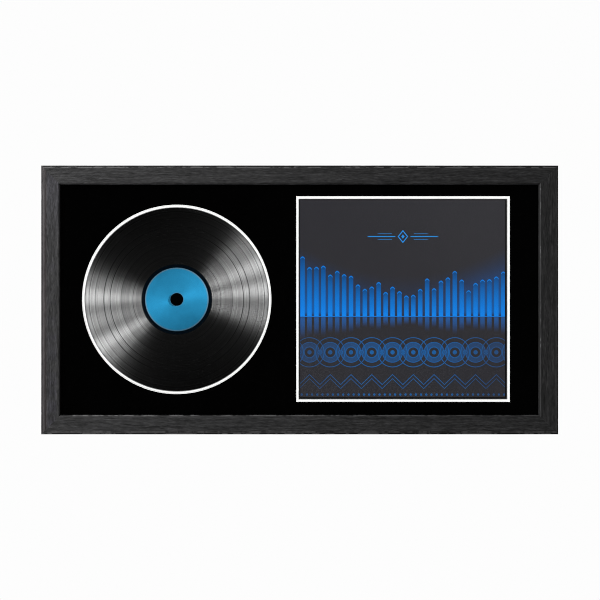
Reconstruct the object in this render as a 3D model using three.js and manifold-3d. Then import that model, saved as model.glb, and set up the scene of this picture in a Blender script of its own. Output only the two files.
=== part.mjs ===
// Record and cover display frame. Millimetres, +Z up, the front faces -Y.
// The origin is the centre of the back: the plane y = 0 holds the rear faces of the rails and of the
// backing board. Everything in the rebate lies at y < 0, and the hardware on the back at y > 0.
import * as THREE from "three";
import { mergeVertices } from "three/addons/utils/BufferGeometryUtils.js";
import Module from "manifold-3d";

const wasm = await Module();
wasm.setup();

// ---------------------------------------------------------------- driving dimensions

const FRAME_W = 775; // over the moulding
const FRAME_H = 403;
const RAIL_FACE = 29; // width of the moulding seen from the front
const RAIL_DEPTH = 22; // front to back
const REBATE_W = 6; // how far the lip covers the glass
const LIP = 5.7; // thickness of the lip in front of the glass
const OUTER_ROUND = 1.5; // eased outer arris
const SIGHT_ROUND = 4; // round-over at the sight edge
const MITRE_GAP = 0.28; // between two mitred ends, along each rail

const GAP = 0.3; // between layers that touch
const PACK_CLEARANCE = 0.8; // between the layers and the rebate, each side

const BACKING_T = 3;
const BOARD_T = 3; // mount board
const POCKET = 4.3; // depth between the mount board and the inner mat
const MAT_T = 1.4;
const GLASS_T = 2;
const LABEL_T = 0.2;
const COVER_T = 0.5;

// the record and its window
const DISC_X = -184.7;
const DISC_Z = 0.8;
const DISC_R = 150.8; // 12 inches
const DISC_HOLE_R = 3.62;
const DISC_LABEL_R = 48.3;
const DISC_T_LABEL = 2.4;
const DISC_T_GROOVES = 2.0;
const DISC_T_BEAD = 2.3;
const DISC_WINDOW_R = 137.7; // the inner mat's rear edge
const REVEAL = 4.5; // white seen round each window

// the sleeve and its window: low x, high x, low z, high z at the inner mat's rear edge
const COVER_WINDOW = [-0.9, 311.1, -148.65, 151.3];
const COVER_SIZE = 315;
const COVER_X = 155.1;
const COVER_Z = 0.5;

// the hub
const HUB_CAP_R = 9.15;
const HUB_CAP_T = 1.3;
const HUB_STUD_R = 3.3;
const HUB_STUD_BORE_R = 2.3;
const HUB_PIN_R = 2.0;
const HUB_FLANGE_R = 18;
const HUB_FLANGE_T = 1.0;

// turn buttons: pivots at this distance from the frame's outer edge
const BUTTON_INSET = 15;
const BUTTON_T = 1.2;
const BUTTON_REACH = 16; // pivot to tip
const BUTTON_R = 6; // round end
const BUTTON_TIP_R = 4.5;
const BUTTON_HOLE_R = 1.9;
const BUTTON_X = [-250, 0, 250]; // along the top and bottom rails
const SCREW_R = 1.5;
const SCREW_HEAD_R = 3.3;
const SCREW_HEAD_T = 1.6;
const SCREW_LENGTH = 9; // in the wood

// strap hangers
const HANGER_INSET = 11.5; // from the frame's outer edge
const HANGER_Z = 104; // height of the D-ring's pin
const STRAP_W = 12;
const STRAP_T = 1.2;
const STRAP_LENGTH = 34; // pin to the strap's lower end
const EYE_INNER_R = 1.55;
const RING_WIRE_R = 1.25;
const RING_HALF_W = 8.5; // to the wire's centre
const RING_STRAIGHT = 3; // side length before the bow
const STRAP_HOLES = [17.5, 27.5]; // below the pin

const BUMPER_R = 5.5;
const BUMPER_T = 3.4;
const BUMPER_INSET = 12;

// ---------------------------------------------------------------- the stack, front faces at lower y

const Y_BACKING = -BACKING_T;
const Y_BOARD_REAR = Y_BACKING - GAP;
const Y_BOARD = Y_BOARD_REAR - BOARD_T;
const Y_INNER_REAR = Y_BOARD - POCKET;
const Y_INNER = Y_INNER_REAR - MAT_T;
const Y_TOP_REAR = Y_INNER - GAP;
const Y_TOP = Y_TOP_REAR - MAT_T;
const Y_GLASS_REAR = Y_TOP - GAP;
const Y_GLASS = Y_GLASS_REAR - GLASS_T;
const LIP_BACK = RAIL_DEPTH - LIP;

const REBATE_U = RAIL_FACE - REBATE_W;
const PACK_W = FRAME_W - 2 * REBATE_U - 2 * PACK_CLEARANCE;
const PACK_H = FRAME_H - 2 * REBATE_U - 2 * PACK_CLEARANCE;

// ---------------------------------------------------------------- helpers

// A merged, outward-facing copy of a geometry, holding positions only.
function closed(geometry) {
  const bare = geometry.clone();
  bare.deleteAttribute("normal");
  bare.deleteAttribute("uv");
  const g = mergeVertices(bare, 1e-4);
  const p = g.attributes.position;
  const index = g.index.array;
  const a = new THREE.Vector3();
  const b = new THREE.Vector3();
  const c = new THREE.Vector3();
  let volume = 0;
  for (let i = 0; i < index.length; i += 3) {
    a.fromBufferAttribute(p, index[i]);
    b.fromBufferAttribute(p, index[i + 1]);
    c.fromBufferAttribute(p, index[i + 2]);
    volume += a.dot(b.cross(c));
  }
  if (volume < 0) {
    for (let i = 0; i < index.length; i += 3) {
      [index[i + 1], index[i + 2]] = [index[i + 2], index[i + 1]];
    }
  }
  return g;
}

function toSolid(geometry) {
  const g = closed(geometry);
  return new wasm.Manifold(
    new wasm.Mesh({
      numProp: 3,
      vertProperties: new Float32Array(g.attributes.position.array),
      triVerts: new Uint32Array(g.index.array),
    }),
  );
}

function toGeometry(solid) {
  const mesh = solid.getMesh();
  const g = new THREE.BufferGeometry();
  g.setAttribute(
    "position",
    new THREE.BufferAttribute(new Float32Array(mesh.vertProperties), 3),
  );
  g.setIndex(new THREE.BufferAttribute(new Uint32Array(mesh.triVerts), 1));
  return g;
}

function cut(geometry, tools) {
  let solid = toSolid(geometry);
  for (const tool of tools) solid = solid.subtract(toSolid(tool));
  return toGeometry(solid);
}

// Moves every vertex of a geometry by a function of its place.
function remap(geometry, place) {
  const p = geometry.attributes.position;
  const v = new THREE.Vector3();
  for (let i = 0; i < p.count; i++) {
    v.fromBufferAttribute(p, i);
    const w = place(v.x, v.y, v.z);
    p.setXYZ(i, w[0], w[1], w[2]);
  }
  return geometry;
}

// A box between two corners.
function slab(x0, x1, y0, y1, z0, z1) {
  return new THREE.BoxGeometry(x1 - x0, y1 - y0, z1 - z0).translate(
    (x0 + x1) / 2,
    (y0 + y1) / 2,
    (z0 + z1) / 2,
  );
}

// A cylinder or cone along Y, from ya (radius ra) to yb (radius rb).
function drum(x, z, ya, yb, ra, rb, sides) {
  return new THREE.CylinderGeometry(rb, ra, yb - ya, sides).translate(
    x,
    (ya + yb) / 2,
    z,
  );
}

// A four-sided tapered block along Y: the rectangle ra at ya, rb at yb, each [x0, x1, z0, z1].
function tapered(ya, ra, yb, rb) {
  return remap(new THREE.BoxGeometry(1, 1, 1), (x, y, z) => {
    const r = y < 0 ? ra : rb;
    return [x < 0 ? r[0] : r[1], y < 0 ? ya : yb, z < 0 ? r[2] : r[3]];
  });
}

// A body of revolution about the Y direction through (x, z): profile points are [radius, y].
function turned(x, z, profile, sides) {
  const points = profile.map(([r, y]) => new THREE.Vector2(r, y));
  return new THREE.LatheGeometry(points, sides).translate(x, 0, z);
}

function arc(cx, cy, r, from, to, steps) {
  const out = [];
  for (let i = 0; i <= steps; i++) {
    const a = from + ((to - from) * i) / steps;
    out.push([cx + r * Math.cos(a), cy + r * Math.sin(a)]);
  }
  return out;
}

function outline(points) {
  return new THREE.Shape(points.map(([a, b]) => new THREE.Vector2(a, b)));
}

const frame = new THREE.Group();

function add(name, geometry, look) {
  const mesh = new THREE.Mesh(geometry, new THREE.MeshStandardMaterial(look));
  mesh.name = name;
  frame.add(mesh);
  return mesh;
}

const WOOD = { color: 0x2b2a2b, roughness: 0.62, metalness: 0 };
const BLACK_CARD = { color: 0x050505, roughness: 0.95, metalness: 0 };
const WHITE_CARD = { color: 0xf4f3f0, roughness: 0.9, metalness: 0 };
const GREY_CARD = { color: 0x9a948a, roughness: 0.95, metalness: 0 };
const GLASS = {
  color: 0xf2f7f6,
  roughness: 0.04,
  metalness: 0,
  transparent: true,
  opacity: 0.2,
};
const VINYL = { color: 0x0b0b0c, roughness: 0.28, metalness: 0 };
const BLUE_PAPER = { color: 0x2484b8, roughness: 0.7, metalness: 0 };
const PRINT = { color: 0x333238, roughness: 0.45, metalness: 0 };
const BLACK_PLASTIC = { color: 0x070707, roughness: 0.5, metalness: 0 };
const FIBREBOARD = { color: 0x9a7a55, roughness: 0.85, metalness: 0 };
const ZINC = { color: 0xb9bcc0, roughness: 0.35, metalness: 1 };
const STEEL = { color: 0x8c8f93, roughness: 0.4, metalness: 1 };
const RUBBER = { color: 0x141414, roughness: 0.8, metalness: 0 };

// ---------------------------------------------------------------- mitred moulding

// The moulding's section: u from the outer edge inwards, v from the back to the front.
function mouldingSection() {
  const points = [
    [0.6, 0],
    [REBATE_U, 0],
    [REBATE_U, LIP_BACK],
    [RAIL_FACE, LIP_BACK],
  ];
  points.push(
    ...arc(
      RAIL_FACE - SIGHT_ROUND,
      RAIL_DEPTH - SIGHT_ROUND,
      SIGHT_ROUND,
      0,
      Math.PI / 2,
      5,
    ),
  );
  points.push(
    ...arc(
      OUTER_ROUND,
      RAIL_DEPTH - OUTER_ROUND,
      OUTER_ROUND,
      Math.PI / 2,
      Math.PI,
      3,
    ),
  );
  points.push([0, 0.6]);
  return outline(points);
}

// side: "top", "bottom", "left" or "right". Each end is sheared to the mitre.
function railGeometry(side) {
  const bar = new THREE.ExtrudeGeometry(mouldingSection(), {
    depth: 1,
    bevelEnabled: false,
  });
  const across = side === "top" || side === "bottom";
  const length = across ? FRAME_W : FRAME_H;
  const edge = (across ? FRAME_H : FRAME_W) / 2;
  const sign = side === "top" || side === "right" ? 1 : -1;
  return remap(bar, (u, v, t) => {
    const along = (t - 0.5) * (length - 2 * u - MITRE_GAP);
    const out = sign * (edge - u);
    return across ? [along, -v, out] : [out, -v, along];
  });
}

// ---------------------------------------------------------------- V-nails

const VNAIL_LEG = 5.2;
const VNAIL_T = 0.5;
const VNAIL_DEPTH = 8;
const VNAIL_RECESS = 0.2;
const VNAIL_U = [8.5, 18]; // the bend's distance from the outer corner, along either edge
const VNAIL_ANGLE = 1.66; // between the legs

// A bent strip: its outline in the plane of the back, thickness t, bend at the origin, opening to +a.
function vOutline(leg, t) {
  const h = VNAIL_ANGLE / 2;
  const dir = (s) => [Math.cos(h), s * Math.sin(h)];
  const out = (s) => [-Math.sin(h), s * Math.cos(h)];
  const at = (s, l, o) => [
    dir(s)[0] * l + out(s)[0] * o,
    dir(s)[1] * l + out(s)[1] * o,
  ];
  const e = t / 2;
  const bend = e / Math.sin(h);
  return outline([
    [bend, 0],
    at(1, leg, -e),
    at(1, leg, e),
    [-bend, 0],
    at(-1, leg, e),
    at(-1, leg, -e),
  ]);
}

function vNailGeometry(sx, sz, u, grown) {
  const shape = vOutline(VNAIL_LEG + grown, VNAIL_T + 2 * grown);
  const prism = new THREE.ExtrudeGeometry(shape, {
    depth: 1,
    bevelEnabled: false,
  });
  const cx = sx * (FRAME_W / 2 - u);
  const cz = sz * (FRAME_H / 2 - u);
  const k = Math.SQRT1_2;
  const top = grown ? 1 : -VNAIL_RECESS;
  const low = -VNAIL_RECESS - VNAIL_DEPTH - grown;
  // the bend points to the outer corner and the legs open towards the middle, one in each rail
  return remap(prism, (a, b, t) => [
    cx + sx * (-a * k - b * k),
    low + (top - low) * t,
    cz + sz * (-a * k + b * k),
  ]);
}

// ---------------------------------------------------------------- fastener places

const buttons = [];
for (const x of BUTTON_X) {
  const place = x < 0 ? "left" : x > 0 ? "right" : "centre";
  buttons.push({
    name: "top_" + place,
    x,
    z: FRAME_H / 2 - BUTTON_INSET,
    turn: Math.PI,
  });
  buttons.push({
    name: "bottom_" + place,
    x,
    z: -FRAME_H / 2 + BUTTON_INSET,
    turn: 0,
  });
}
buttons.push({
  name: "side_left",
  x: -FRAME_W / 2 + BUTTON_INSET,
  z: 0,
  turn: Math.PI / 2,
});
buttons.push({
  name: "side_right",
  x: FRAME_W / 2 - BUTTON_INSET,
  z: 0,
  turn: -Math.PI / 2,
});

const hangers = [
  { name: "left", x: -FRAME_W / 2 + HANGER_INSET },
  { name: "right", x: FRAME_W / 2 - HANGER_INSET },
];

const pilotHoles = [];
for (const b of buttons) {
  pilotHoles.push(
    drum(b.x, b.z, -SCREW_LENGTH - 1, 1, SCREW_R + GAP, SCREW_R + GAP, 12),
  );
}
for (const h of hangers) {
  for (const d of STRAP_HOLES) {
    pilotHoles.push(
      drum(h.x, HANGER_Z - d, -SCREW_LENGTH - 1, 1, SCREW_R + GAP, SCREW_R + GAP, 12),
    );
  }
}

// ---------------------------------------------------------------- the moulding

const corners = [
  ["top_left", -1, 1],
  ["top_right", 1, 1],
  ["bottom_left", -1, -1],
  ["bottom_right", 1, -1],
];
const nailSlots = corners.flatMap(([, sx, sz]) =>
  VNAIL_U.map((u) => vNailGeometry(sx, sz, u, GAP)),
);

function overlapsBox(a, b) {
  a.computeBoundingBox();
  b.computeBoundingBox();
  return a.boundingBox.intersectsBox(b.boundingBox);
}

for (const [name, side] of [
  ["rail_top", "top"],
  ["rail_bottom", "bottom"],
  ["stile_left", "left"],
  ["stile_right", "right"],
]) {
  const rail = railGeometry(side);
  const tools = [...pilotHoles, ...nailSlots].filter((t) =>
    overlapsBox(rail, t),
  );
  add(name, cut(rail, tools), WOOD);
}

for (const [corner, sx, sz] of corners) {
  VNAIL_U.forEach((u, i) => {
    add(
      "v_nail_" + corner + (i ? "_inner" : "_outer"),
      closed(vNailGeometry(sx, sz, u, 0)),
      STEEL,
    );
  });
}

// ---------------------------------------------------------------- glass and mats

add(
  "glass_pane",
  slab(-PACK_W / 2, PACK_W / 2, Y_GLASS, Y_GLASS_REAR, -PACK_H / 2, PACK_H / 2),
  GLASS,
);

// A mat with a round and a square window, both bevelled at 45 degrees so that the core shows in front.
// rear: the amount by which both windows are larger at the mat's rear edge than the sight of the object.
function mat(yFront, yRear, rear) {
  const t = yRear - yFront;
  const over = 1;
  const plate = slab(
    -PACK_W / 2,
    PACK_W / 2,
    yFront,
    yRear,
    -PACK_H / 2,
    PACK_H / 2,
  );
  const r0 = DISC_WINDOW_R + rear;
  const round = drum(
    DISC_X,
    DISC_Z,
    yFront - over,
    yRear + over,
    r0 + t + over,
    r0 - over,
    120,
  );
  const [x0, x1, z0, z1] = COVER_WINDOW;
  const grown = (d) => [x0 - d, x1 + d, z0 - d, z1 + d];
  const square = tapered(
    yFront - over,
    grown(rear + t + over),
    yRear + over,
    grown(rear - over),
  );
  return cut(plate, [round, square]);
}

add("top_mat", mat(Y_TOP, Y_TOP_REAR, REVEAL - MAT_T), BLACK_CARD);
add("inner_mat", mat(Y_INNER, Y_INNER_REAR, 0), WHITE_CARD);

// ---------------------------------------------------------------- the pocket

const DISC_FACE_REAR = Y_BOARD - GAP - HUB_FLANGE_T - GAP; // rear of the label area
const DISC_FACE = DISC_FACE_REAR - DISC_T_LABEL;
const DISC_MID = (DISC_FACE_REAR + DISC_FACE) / 2;

{
  const g = DISC_T_GROOVES / 2;
  const b = DISC_T_BEAD / 2;
  const l = DISC_T_LABEL / 2;
  const m = DISC_MID;
  const recess = LABEL_T + 0.1;
  // half of the section, from the spindle hole out to the rim, on the front side
  const half = [
    [DISC_HOLE_R, l],
    [DISC_HOLE_R + 0.5, l],
    [DISC_HOLE_R + 0.5, l - recess],
    [DISC_LABEL_R, l - recess],
    [DISC_LABEL_R, l],
    [DISC_LABEL_R + 1.6, l],
    [DISC_LABEL_R + 3.4, g],
    [DISC_R - 4, g],
    [DISC_R - 2.4, b],
    [DISC_R, b - 0.7],
  ];
  const profile = half.map(([r, y]) => [r, m - y]);
  for (let i = half.length - 1; i >= 0; i--) {
    profile.push([half[i][0], m + half[i][1]]);
  }
  profile.push(profile[0]);
  add("record_disc", closed(turned(DISC_X, DISC_Z, profile, 96)), VINYL);

  const labelSection = (face, inward) => {
    const far = face + inward * (0.05 + LABEL_T);
    const near = face + inward * 0.05;
    const inner = DISC_HOLE_R + 0.8;
    const outer = DISC_LABEL_R - 0.3;
    return [
      [inner, near],
      [outer, near],
      [outer, far],
      [inner, far],
      [inner, near],
    ];
  };
  add(
    "label_front",
    closed(turned(DISC_X, DISC_Z, labelSection(DISC_FACE, 1), 60)),
    BLUE_PAPER,
  );
  add(
    "label_back",
    closed(turned(DISC_X, DISC_Z, labelSection(DISC_FACE_REAR, -1), 60)),
    BLUE_PAPER,
  );
}

// The hub: a flanged tube stuck to the mount board carries the record, and the cap's pin plugs into it.
{
  const rear = Y_BOARD - GAP;
  const tip = DISC_FACE + 0.1;
  const base = [
    [HUB_STUD_BORE_R, rear],
    [HUB_FLANGE_R, rear],
    [HUB_FLANGE_R, rear - HUB_FLANGE_T + 0.3],
    [HUB_FLANGE_R - 0.3, rear - HUB_FLANGE_T],
    [HUB_STUD_R, rear - HUB_FLANGE_T],
    [HUB_STUD_R, tip],
    [HUB_STUD_BORE_R, tip],
    [HUB_STUD_BORE_R, rear],
  ];
  add("hub_base", closed(turned(DISC_X, DISC_Z, base, 32)), BLACK_PLASTIC);
  const under = DISC_FACE - GAP;
  const face = under - HUB_CAP_T;
  const cap = [
    [0, rear - 0.6],
    [HUB_PIN_R - 0.4, rear - 0.6],
    [HUB_PIN_R, rear - 1.0],
    [HUB_PIN_R, under],
    [HUB_CAP_R, under],
    [HUB_CAP_R, face + 0.5],
    [HUB_CAP_R - 0.2, face + 0.2],
    [HUB_CAP_R - 0.7, face],
    [0, face],
  ];
  add("hub_cap", closed(turned(DISC_X, DISC_Z, cap, 32)), BLACK_PLASTIC);
}

// The sleeve front and the foam board behind it.
{
  const x0 = COVER_X - COVER_SIZE / 2;
  const z0 = COVER_Z - COVER_SIZE / 2;
  const front = Y_INNER_REAR + GAP;
  add(
    "cover_card",
    slab(x0, x0 + COVER_SIZE, front, front + COVER_T, z0, z0 + COVER_SIZE),
    PRINT,
  );
  add(
    "cover_backer",
    slab(
      x0,
      x0 + COVER_SIZE,
      front + COVER_T + GAP,
      Y_BOARD - GAP,
      z0,
      z0 + COVER_SIZE,
    ),
    WHITE_CARD,
  );
}

// Card fillets round the pocket.
{
  const y0 = Y_INNER_REAR + GAP;
  const y1 = Y_BOARD - GAP;
  const w = PACK_W / 2 - 0.2;
  const h = PACK_H / 2 - 0.2;
  const inner = h - 17;
  const fillet = (name, x0, x1, z0, z1) =>
    add(name, slab(x0, x1, y0, y1, z0, z1), GREY_CARD);
  fillet("spacer_top", -w, w, inner, h);
  fillet("spacer_bottom", -w, w, -h, -inner);
  fillet("spacer_left", -w, -w + 26, -inner + GAP, inner - GAP);
  fillet("spacer_right", w - 49, w, -inner + GAP, inner - GAP);
  fillet("spacer_centre", -32, -4, -inner + GAP, inner - GAP);
}

add(
  "mount_board",
  slab(-PACK_W / 2, PACK_W / 2, Y_BOARD, Y_BOARD_REAR, -PACK_H / 2, PACK_H / 2),
  BLACK_CARD,
);
add(
  "backing_board",
  slab(-PACK_W / 2, PACK_W / 2, Y_BACKING, 0, -PACK_H / 2, PACK_H / 2),
  FIBREBOARD,
);

// ---------------------------------------------------------------- turn buttons

// A flat steel tongue with a round end at the pivot and a narrower round tip.
function buttonShape() {
  const centre = BUTTON_REACH - BUTTON_TIP_R;
  const lean = Math.asin((BUTTON_R - BUTTON_TIP_R) / centre);
  const shape = outline([
    ...arc(0, 0, BUTTON_R, Math.PI - lean, 2 * Math.PI + lean, 12),
    ...arc(0, centre, BUTTON_TIP_R, lean, Math.PI - lean, 8),
  ]);
  const hole = new THREE.Path();
  hole.absarc(0, 0, BUTTON_HOLE_R, 0, 2 * Math.PI, true);
  shape.holes.push(hole);
  return shape;
}

function buttonGeometry(b) {
  const plate = new THREE.ExtrudeGeometry(buttonShape(), {
    depth: BUTTON_T,
    bevelEnabled: false,
    curveSegments: 7,
  });
  const c = Math.cos(b.turn);
  const s = Math.sin(b.turn);
  // turn 0 points the tip to +Z, and a positive turn swings it towards +X
  return remap(plate, (p, q, t) => [
    b.x + p * c + q * s,
    GAP + t,
    b.z - p * s + q * c,
  ]);
}

// A pan-head screw along Y, driven from the back: its head's underside is at y = seat.
function screwGeometry(x, z, seat) {
  const r = SCREW_R;
  const top = seat + SCREW_HEAD_T;
  const point = -SCREW_LENGTH;
  const profile = [
    [0, point],
    [r, point + 3],
    [r, seat],
    [SCREW_HEAD_R, seat],
    [SCREW_HEAD_R - 0.15, seat + 0.85],
    [SCREW_HEAD_R - 1.1, top],
    [0, top],
  ];
  const w = 0.42;
  const l = 1.75;
  const deep = top - 1.05;
  return cut(turned(x, z, profile, 14), [
    slab(x - l, x + l, deep, top + 1, z - w, z + w),
    slab(x - w, x + w, deep, top + 1, z - l, z + l),
  ]);
}

for (const b of buttons) {
  add("button_" + b.name, closed(buttonGeometry(b)), ZINC);
  add(
    "button_screw_" + b.name,
    screwGeometry(b.x, b.z, GAP + BUTTON_T + GAP),
    ZINC,
  );
}

// ---------------------------------------------------------------- strap hangers

const EYE_OUTER_R = EYE_INNER_R + STRAP_T;
const PIN_Y = GAP + EYE_OUTER_R;

// The strap's section along its length: a flat leaf whose upper end is rolled into an eye.
function strapGeometry(x) {
  const low = Math.PI * 1.5;
  const sweep = (Math.PI * 5) / 3; // how far the eye is rolled
  const section = [
    [-STRAP_LENGTH, GAP],
    ...arc(0, PIN_Y, EYE_OUTER_R, low, low + sweep, 20),
    ...arc(0, PIN_Y, EYE_INNER_R, low + sweep, low, 20),
    [-STRAP_LENGTH, GAP + STRAP_T],
  ];
  const strip = new THREE.ExtrudeGeometry(outline(section), {
    depth: STRAP_W,
    bevelEnabled: false,
  });
  const strap = remap(strip, (z, y, t) => [
    x - STRAP_W / 2 + t,
    y,
    HANGER_Z + z,
  ]);
  const tools = STRAP_HOLES.map((d) =>
    drum(x, HANGER_Z - d, -1, 3, SCREW_R + 0.4, SCREW_R + 0.4, 16),
  );
  // rounded lower end: what lies below the end's half circle is cut away
  const end = -STRAP_LENGTH + STRAP_W / 2;
  const away = new THREE.ExtrudeGeometry(
    outline([
      [-STRAP_W / 2 - 1, end],
      ...arc(0, end, STRAP_W / 2, Math.PI, 2 * Math.PI, 10),
      [STRAP_W / 2 + 1, end],
      [STRAP_W / 2 + 1, end - STRAP_W],
      [-STRAP_W / 2 - 1, end - STRAP_W],
    ]),
    { depth: 5, bevelEnabled: false },
  );
  tools.push(remap(away, (p, q, t) => [x + p, t - 1, HANGER_Z + q]));
  return cut(strap, tools);
}

// The D-ring's wire: its butt joint lies inside the eye, and it hangs from the pin line.
class RingPath extends THREE.Curve {
  constructor() {
    super();
    const r = 2; // corner
    const half = RING_HALF_W;
    const low = -RING_STRAIGHT;
    const points = [
      [0.15, 0],
      [half / 3, 0],
      [(half * 2) / 3, 0],
      ...arc(half - r, -r, r, Math.PI / 2, 0, 4),
      ...arc(0, low, half, 0, -Math.PI, 20),
      ...arc(-half + r, -r, r, Math.PI, Math.PI / 2, 4),
      [(-half * 2) / 3, 0],
      [-half / 3, 0],
      [-0.15, 0],
    ];
    this.points = points;
    this.sums = [0];
    for (let i = 1; i < points.length; i++) {
      const d = Math.hypot(
        points[i][0] - points[i - 1][0],
        points[i][1] - points[i - 1][1],
      );
      this.sums.push(this.sums[i - 1] + d);
    }
  }
  getPoint(t, target = new THREE.Vector3()) {
    const want = t * this.sums[this.sums.length - 1];
    let i = 1;
    while (i < this.sums.length - 1 && this.sums[i] < want) i++;
    const k = (want - this.sums[i - 1]) / (this.sums[i] - this.sums[i - 1]);
    const [a, b] = [this.points[i - 1], this.points[i]];
    return target.set(a[0] + (b[0] - a[0]) * k, 0, a[1] + (b[1] - a[1]) * k);
  }
}

function ringGeometry(x) {
  const section = outline(
    arc(0, 0, RING_WIRE_R, 0, (Math.PI * 2 * 7) / 8, 7),
  );
  const wire = new THREE.ExtrudeGeometry(section, {
    steps: 38,
    bevelEnabled: false,
    extrudePath: new RingPath(),
  });
  return closed(wire).translate(x, PIN_Y, HANGER_Z);
}

for (const h of hangers) {
  add("hanger_strap_" + h.name, strapGeometry(h.x), ZINC);
  add("d_ring_" + h.name, ringGeometry(h.x), ZINC);
  STRAP_HOLES.forEach((d, i) => {
    add(
      "hanger_screw_" + h.name + (i ? "_lower" : "_upper"),
      screwGeometry(h.x, HANGER_Z - d, GAP + STRAP_T + GAP),
      ZINC,
    );
  });
}

// ---------------------------------------------------------------- rubber bumpers

for (const [name, s] of [
  ["bumper_left", -1],
  ["bumper_right", 1],
]) {
  const x = s * (FRAME_W / 2 - BUMPER_INSET);
  const z = -FRAME_H / 2 + BUMPER_INSET;
  const profile = [
    [0, GAP],
    [BUMPER_R, GAP],
    [BUMPER_R, GAP + 1.2],
    [BUMPER_R - 0.5, GAP + BUMPER_T - 0.6],
    [BUMPER_R - 1.2, GAP + BUMPER_T],
    [0, GAP + BUMPER_T],
  ];
  add(name, closed(turned(x, z, profile, 18)), RUBBER);
}

export default frame;
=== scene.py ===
import math

import bmesh
import bpy
import numpy as np
from mathutils import Matrix, Vector


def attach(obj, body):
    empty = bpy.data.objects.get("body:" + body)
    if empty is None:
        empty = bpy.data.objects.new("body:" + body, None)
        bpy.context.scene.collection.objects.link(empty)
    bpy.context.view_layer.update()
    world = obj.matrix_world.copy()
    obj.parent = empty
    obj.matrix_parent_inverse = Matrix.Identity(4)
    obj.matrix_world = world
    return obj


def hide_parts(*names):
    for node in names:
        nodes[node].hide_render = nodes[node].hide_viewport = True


# Record and cover display frame: looks. Lengths below are in millimetres in the CAD's frame (+Z up, the
# front faces -Y, the origin is the centre of the back) and become metres where a mesh is made.

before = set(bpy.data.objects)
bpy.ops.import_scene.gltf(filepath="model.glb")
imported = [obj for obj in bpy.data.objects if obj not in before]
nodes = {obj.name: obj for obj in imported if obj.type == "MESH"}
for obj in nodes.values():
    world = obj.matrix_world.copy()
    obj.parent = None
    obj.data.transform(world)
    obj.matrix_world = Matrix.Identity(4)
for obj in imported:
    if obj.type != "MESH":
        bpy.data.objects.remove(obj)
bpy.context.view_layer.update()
scene = bpy.context.scene

FRAME_W, FRAME_H, RAIL_FACE, RAIL_DEPTH = 775.0, 403.0, 29.0, 22.0
REBATE_U, LIP_BACK = 23.0, 16.3
OUTER_ROUND, SIGHT_ROUND = 1.5, 4.0
PACK_W, PACK_H = 727.4, 355.4
DISC_X, DISC_Z = -184.7, 0.8
COVER_WINDOW = (-0.9, 311.1, -148.65, 151.3)
PIN_Y, HANGER_Z, HANGER_X = 3.05, 104.0, 376.0

# ------------------------------------------------------------------ camera

# The photograph looks straight at the front: 600 px cover 899.6 mm at the front of the moulding.
LENS = 150.0
camera_data = bpy.data.cameras.new("camera")
camera_data.lens = LENS
camera_data.sensor_width = 36.0
camera_data.clip_start, camera_data.clip_end = 0.05, 60.0
camera = bpy.data.objects.new("camera", camera_data)
scene.collection.objects.link(camera)
camera.location = (0.00043, -0.0205 - 0.8994 * LENS / 36.0, -0.0001)
camera.rotation_euler = (math.pi / 2, 0.0, 0.0)
scene.camera = camera

# ------------------------------------------------------------------ seeded noise for relief


class Lattice:
    """Smooth seeded noise from 0 to 1 on a wrapped lattice."""

    def __init__(self, seed, n=512):
        self.n = n
        self.g = np.random.default_rng(seed).random((n, n))

    def __call__(self, x, y):
        x, y = np.broadcast_arrays(np.asarray(x, float), np.asarray(y, float))
        xi, yi = np.floor(x).astype(int), np.floor(y).astype(int)
        fx, fy = x - xi, y - yi
        fx, fy = fx * fx * (3 - 2 * fx), fy * fy * (3 - 2 * fy)
        n, g = self.n, self.g
        a, b = g[xi % n, yi % n], g[(xi + 1) % n, yi % n]
        c, d = g[xi % n, (yi + 1) % n], g[(xi + 1) % n, (yi + 1) % n]
        return (a * (1 - fx) + b * fx) * (1 - fy) + (c * (1 - fx) + d * fx) * fy


def ease(x, low, high):
    t = np.clip((x - low) / (high - low), 0, 1)
    return t * t * (3 - 2 * t)


# ------------------------------------------------------------------ mesh helpers


def signed_volume(co, faces):
    total = 0.0
    by_size = {}
    for f in faces:
        by_size.setdefault(len(f), []).append(f)
    for size, group in by_size.items():
        idx = np.array(group)
        a = co[idx[:, 0]]
        for k in range(1, size - 1):
            b, c = co[idx[:, k]], co[idx[:, k + 1]]
            total += float(np.einsum("ij,ij->i", a, np.cross(b, c)).sum())
    return total


def piece(name, co, faces, material, stands_for=(), body="frame", sharp=35.0, face_slots=None):
    """A closed mesh piece from millimetre points, facing out, riding on its body."""
    co = np.asarray(co, float)
    if not isinstance(faces, list):
        faces = faces.tolist()
    if signed_volume(co, faces) < 0:
        faces = [f[::-1] for f in faces]
    mesh = bpy.data.meshes.new(name)
    mesh.from_pydata((co * 0.001).tolist(), [], faces)
    materials = material if isinstance(material, (list, tuple)) else [material]
    for m in materials:
        mesh.materials.append(m)
    if face_slots is not None:
        mesh.polygons.foreach_set("material_index", np.asarray(face_slots, np.int32))
    mesh.update()
    mesh.shade_smooth()
    mesh.set_sharp_from_angle(angle=math.radians(sharp))
    return place(name, mesh, stands_for, body)


def place(name, mesh, stands_for=(), body="frame", matrix=None):
    obj = bpy.data.objects.new(name, mesh)
    scene.collection.objects.link(obj)
    if matrix is not None:
        obj.matrix_world = matrix
    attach(obj, body)
    if stands_for:
        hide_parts(*([stands_for] if isinstance(stands_for, str) else stands_for))
    return obj


def grid_faces(rows, columns, wrap_rows=False, wrap_columns=False):
    """Quads of a grid of rows x columns points, row by row."""
    r = np.arange(rows if wrap_rows else rows - 1)
    c = np.arange(columns if wrap_columns else columns - 1)
    r, c = np.meshgrid(r, c, indexing="ij")
    r2, c2 = (r + 1) % rows, (c + 1) % columns
    q = np.stack([r * columns + c, r2 * columns + c, r2 * columns + c2, r * columns + c2], -1)
    return q.reshape(-1, 4)


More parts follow.
